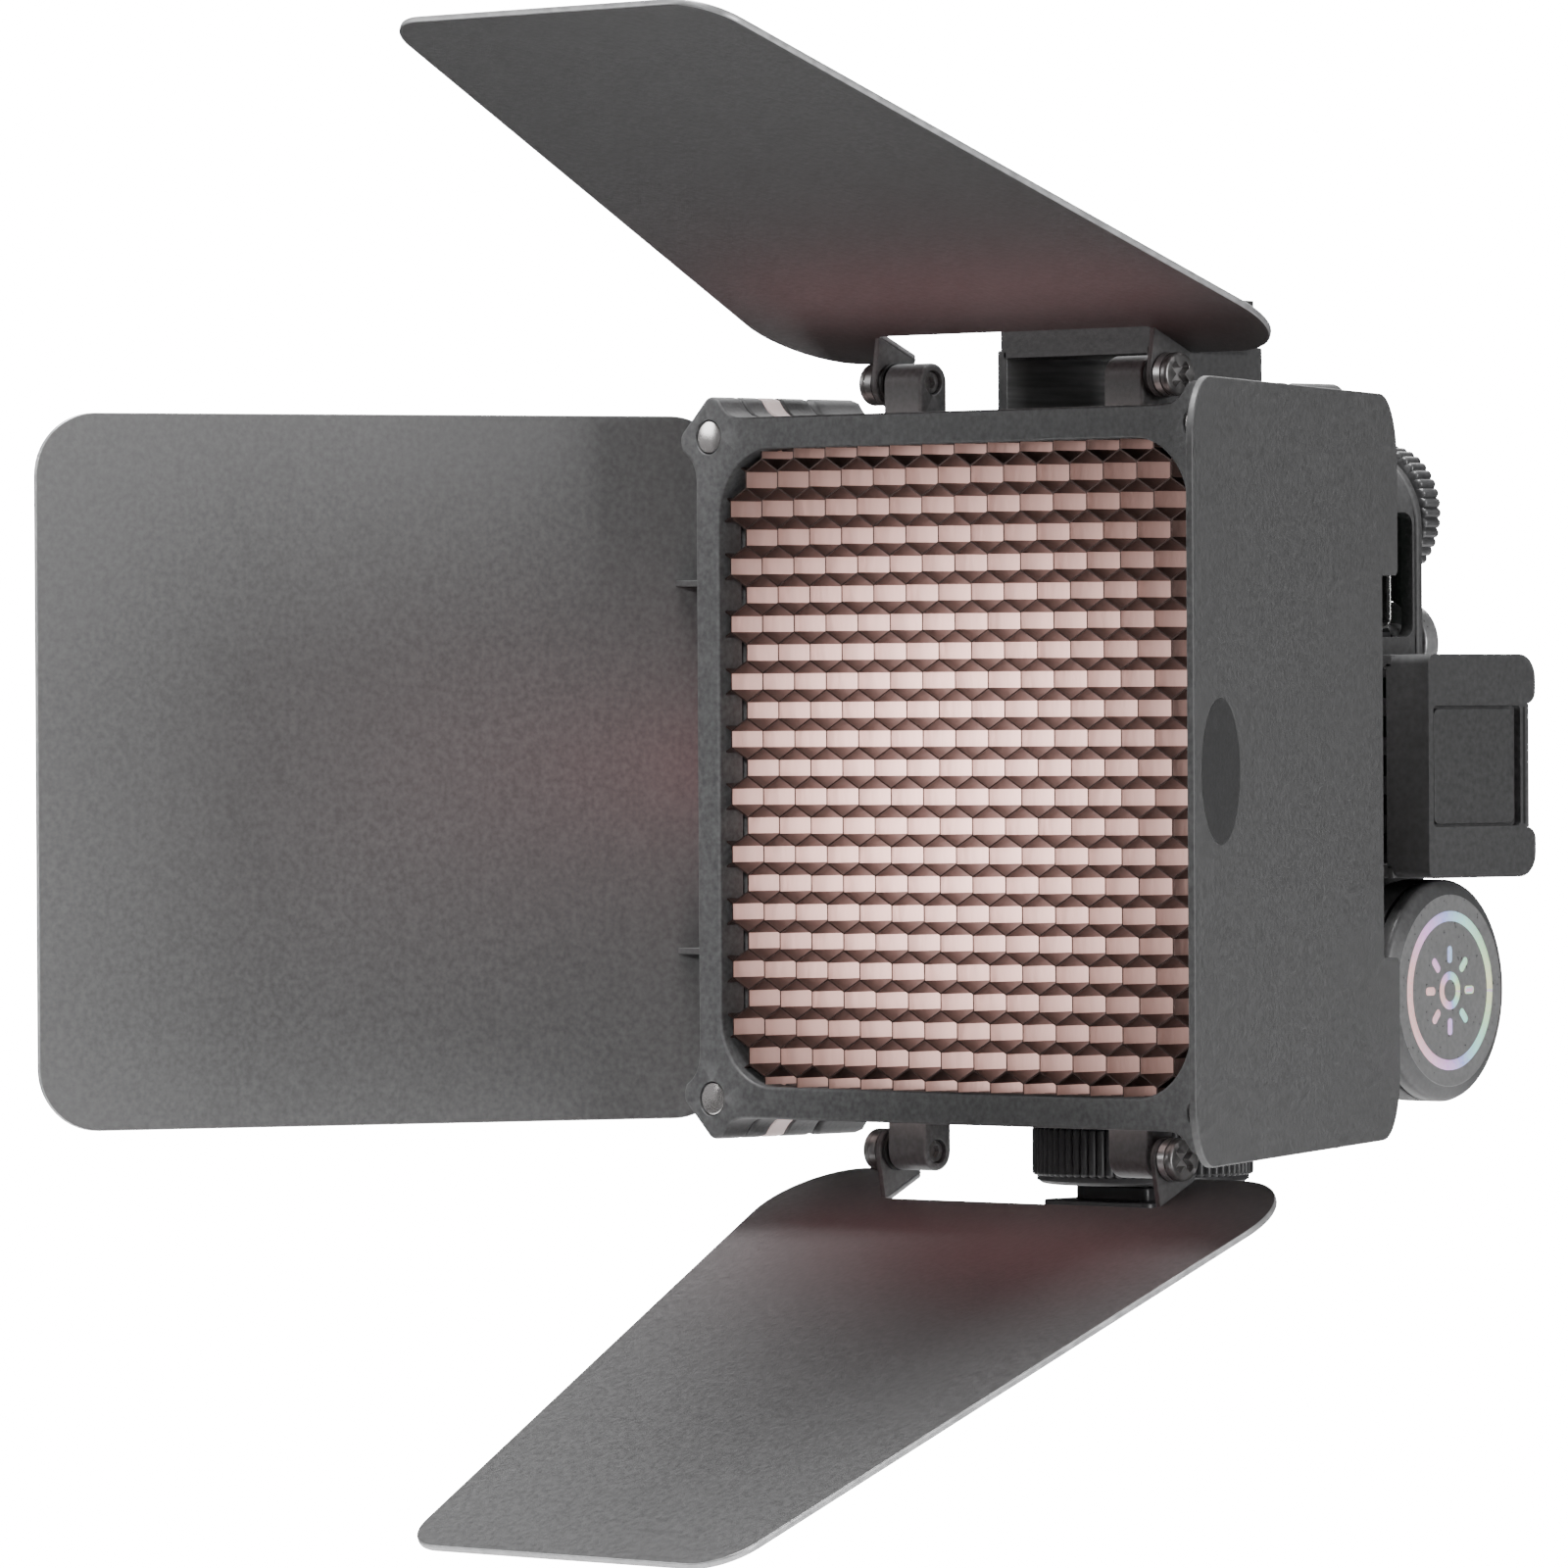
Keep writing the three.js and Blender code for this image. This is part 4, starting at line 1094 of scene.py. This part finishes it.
def shoe_mount():
    """The knurled lock wheel, and the cold-shoe foot below it."""
    bore = circle(STUD_BORE, sides=40)
    upright = Matrix.Translation((0, MOUNT_Y, 0))
    low, high = local_box("mount_wheel")[2]
    grip = slab([knurled(WHEEL_R, 0.5, 72), bore], low + 1.1, high, "xy", bevel=[0.45, 0.2])
    round_foot = [circle(WHEEL_R - 0.6, sides=120), bore]
    foot_ring = slab(round_foot, low, low + 1.6, "xy", bevel=[1.1, 0.2], steps=4)
    piece("lock_ring", moved(merge(grip, foot_ring), upright), "black", "lock_wheel",
          ["mount_wheel"])
    low, high = local_box("shoe_foot")[2]
    plate = slab([square(FOOT_WIDE / 2, 1.2)], low, low + 1.9, "xy", bevel=0.3)
    neck = slab([square(FOOT_NECK / 2, 0.8), bore], low + 1.8, high, "xy", bevel=[0.2, 0.1])
    piece("foot_plate", moved(merge(plate, neck), upright), "black", nodes=["shoe_foot"])


# ------------------------------------------------------------------ inner pieces keep their CAD shapes

INNER = {
    "front_lens": "clear", "led_board": "white", "heat_sink": "sink", "battery_pack": "wrap",
    "main_board": "board", "fan_frame": "black", "fan_rotor": "black", "dial_encoder": "steel",
    "button_switch": "black", "mount_stud": "screw",
}


def inner_pieces():
    for node, look in INNER.items():
        made = frame["nodes"][node]
        made.data.materials.clear()
        made.data.materials.append(LOOK[look])


LENS_HALF = 37.6
LENS_R = 6

grid()
honeycomb()
eared_plate("diffuser", "diffuser_panel", None, "opal", 0.3)
ring()
doors()
door_disc()
eared_plate("bezel", "front_bezel", square(LENS_HALF, LENS_R), "body", 1.1)
housing()
rear_cover()
display()
cover_screws()
brackets()
dial()
button()
side_knob()
port()
switch()
shoe_mount()
inner_pieces()


# ------------------------------------------------------------------ stage, light and camera

FLOOR_DROP = 0.06
FLOOR_R = 0.3


def stage():
    """A plain pale disc, below the lowest door."""
    at = (0, 0, CAD_BOX[0][2] - FLOOR_DROP)
    bpy.ops.mesh.primitive_circle_add(vertices=128, radius=FLOOR_R, fill_type="NGON", location=at)
    floor = bpy.context.object
    floor.name = "floor"
    material, tree, shader = new_material("pale_floor")
    tint = mix_colours(tree, spread(tree, noise(tree, 30, 2), 0, 1), (0.9, 0.9, 0.9), (0.93, 0.93, 0.93))
    tree.links.new(tint, shader.inputs["Base Color"])
    shader.inputs["Roughness"].default_value = 0.8
    shader.inputs["Emission Color"].default_value = (1, 1, 1, 1)
    shader.inputs["Emission Strength"].default_value = 0.15
    floor.data.materials.append(material)


BACKDROP = 20.0
FILL = 0.06


def world():
    """A white backdrop, and a much weaker fill light from all round."""
    made = bpy.data.worlds.new("studio")
    bpy.context.scene.world = made
    made.use_nodes = True
    tree = made.node_tree
    tree.nodes.clear()
    output = tree.nodes.new("ShaderNodeOutputWorld")
    path = tree.nodes.new("ShaderNodeLightPath")
    mix = tree.nodes.new("ShaderNodeMixShader")
    tree.links.new(path.outputs["Is Camera Ray"], mix.inputs["Fac"])
    for socket, strength in ((mix.inputs[1], FILL), (mix.inputs[2], BACKDROP)):
        background = tree.nodes.new("ShaderNodeBackground")
        background.inputs["Color"].default_value = (1, 1, 1, 1)
        background.inputs["Strength"].default_value = strength
        tree.links.new(background.outputs["Background"], socket)
    tree.links.new(mix.outputs["Shader"], output.inputs["Surface"])


def hang(name, data, at, target):
    """Puts a lamp in the scene, aimed at a point."""
    lamp = bpy.data.objects.new(name, data)
    bpy.context.scene.collection.objects.link(lamp)
    lamp.location = at
    lamp.rotation_euler = (Vector(target) - Vector(at)).to_track_quat("-Z", "Y").to_euler()
    return lamp


def softbox(name, at, target, size, power, colour=(1, 1, 1), height=None):
    """A rectangular area light, square unless it has a height."""
    data = bpy.data.lights.new(name, "AREA")
    data.shape = "RECTANGLE"
    data.size = size
    data.size_y = height or size
    data.energy = power
    data.color = colour
    lamp = hang(name, data, at, target)
    lamp.visible_camera = False
    return lamp


def beam(name, at, target, power, width):
    """A soft-edged spot; width is its full angle in degrees."""
    data = bpy.data.lights.new(name, "SPOT")
    data.energy = power
    data.spot_size = math.radians(width)
    data.spot_blend = 1.0
    data.shadow_soft_size = 0.1
    hang(name, data, at, target)


# The spill's place and aim are drawn for the top side.
SPILL_COLOUR = (1.0, 0.1, 0.14)
SPILL_FROM = (0, -3, 48)
SPILL_TO = (0, -3, 60)
DOOR_SPOT = (-98, -80, 8)


def lights():
    """Soft boxes round the light, a weak red spill on three doors, and a spot on the left door's tip."""
    softbox("key", (-0.1, -0.34, 1.49), ORIGIN, 0.6, 42)
    softbox("side", (1.5, -0.02, 0.14), ORIGIN, 0.5, 15)
    softbox("left_front", (-1.2, -1.1, 0.55), ORIGIN, 0.7, 6)
    softbox("rim", (-0.6, 1.0, 0.9), ORIGIN, 0.8, 8)
    for side in (TOP, BOTTOM, LEFT):
        turn = LIGHT @ side_matrix(side)
        at, target = turn @ Vector(SPILL_FROM), turn @ Vector(SPILL_TO)
        spill = softbox(f"spill_{side['name']}", at, target, 0.08, 0.003, SPILL_COLOUR, 0.006)
        spill.visible_glossy = False
    beam("door_beam", (0.6, -1.05, 0.35), LIGHT @ Vector(DOOR_SPOT), 270, 5.6)


# Where the camera stands, in millimetres from the grid's middle, and how it leans.
AZIMUTH = math.radians(44.66)
ELEVATION = math.radians(0.396)
ROLL = math.radians(-0.325)
DISTANCE = 1379.97
ASIDE = -20.777
ABOVE = -1.902
SENSOR = 36
LENS = 251.4


def camera():
    """A long lens at the front right corner, almost level."""
    back = Vector((math.sin(AZIMUTH) * math.cos(ELEVATION), -math.cos(AZIMUTH) * math.cos(ELEVATION),
                   math.sin(ELEVATION)))
    right = Vector((math.cos(AZIMUTH), math.sin(AZIMUTH), 0))
    up = back.cross(right)
    across = right * math.cos(ROLL) + up * math.sin(ROLL)
    upward = up * math.cos(ROLL) - right * math.sin(ROLL)
    data = bpy.data.cameras.new("camera")
    data.sensor_width = SENSOR
    data.lens = LENS
    data.clip_start = 0.05
    data.clip_end = 20
    made = bpy.data.objects.new("camera", data)
    bpy.context.scene.collection.objects.link(made)
    place = LIGHT @ (back * DISTANCE + right * ASIDE + up * ABOVE)
    turn = Matrix((across, upward, back)).transposed().to_4x4()
    made.matrix_world = Matrix.Translation(place) @ turn
    bpy.context.scene.camera = made


stage()
world()
lights()
camera()
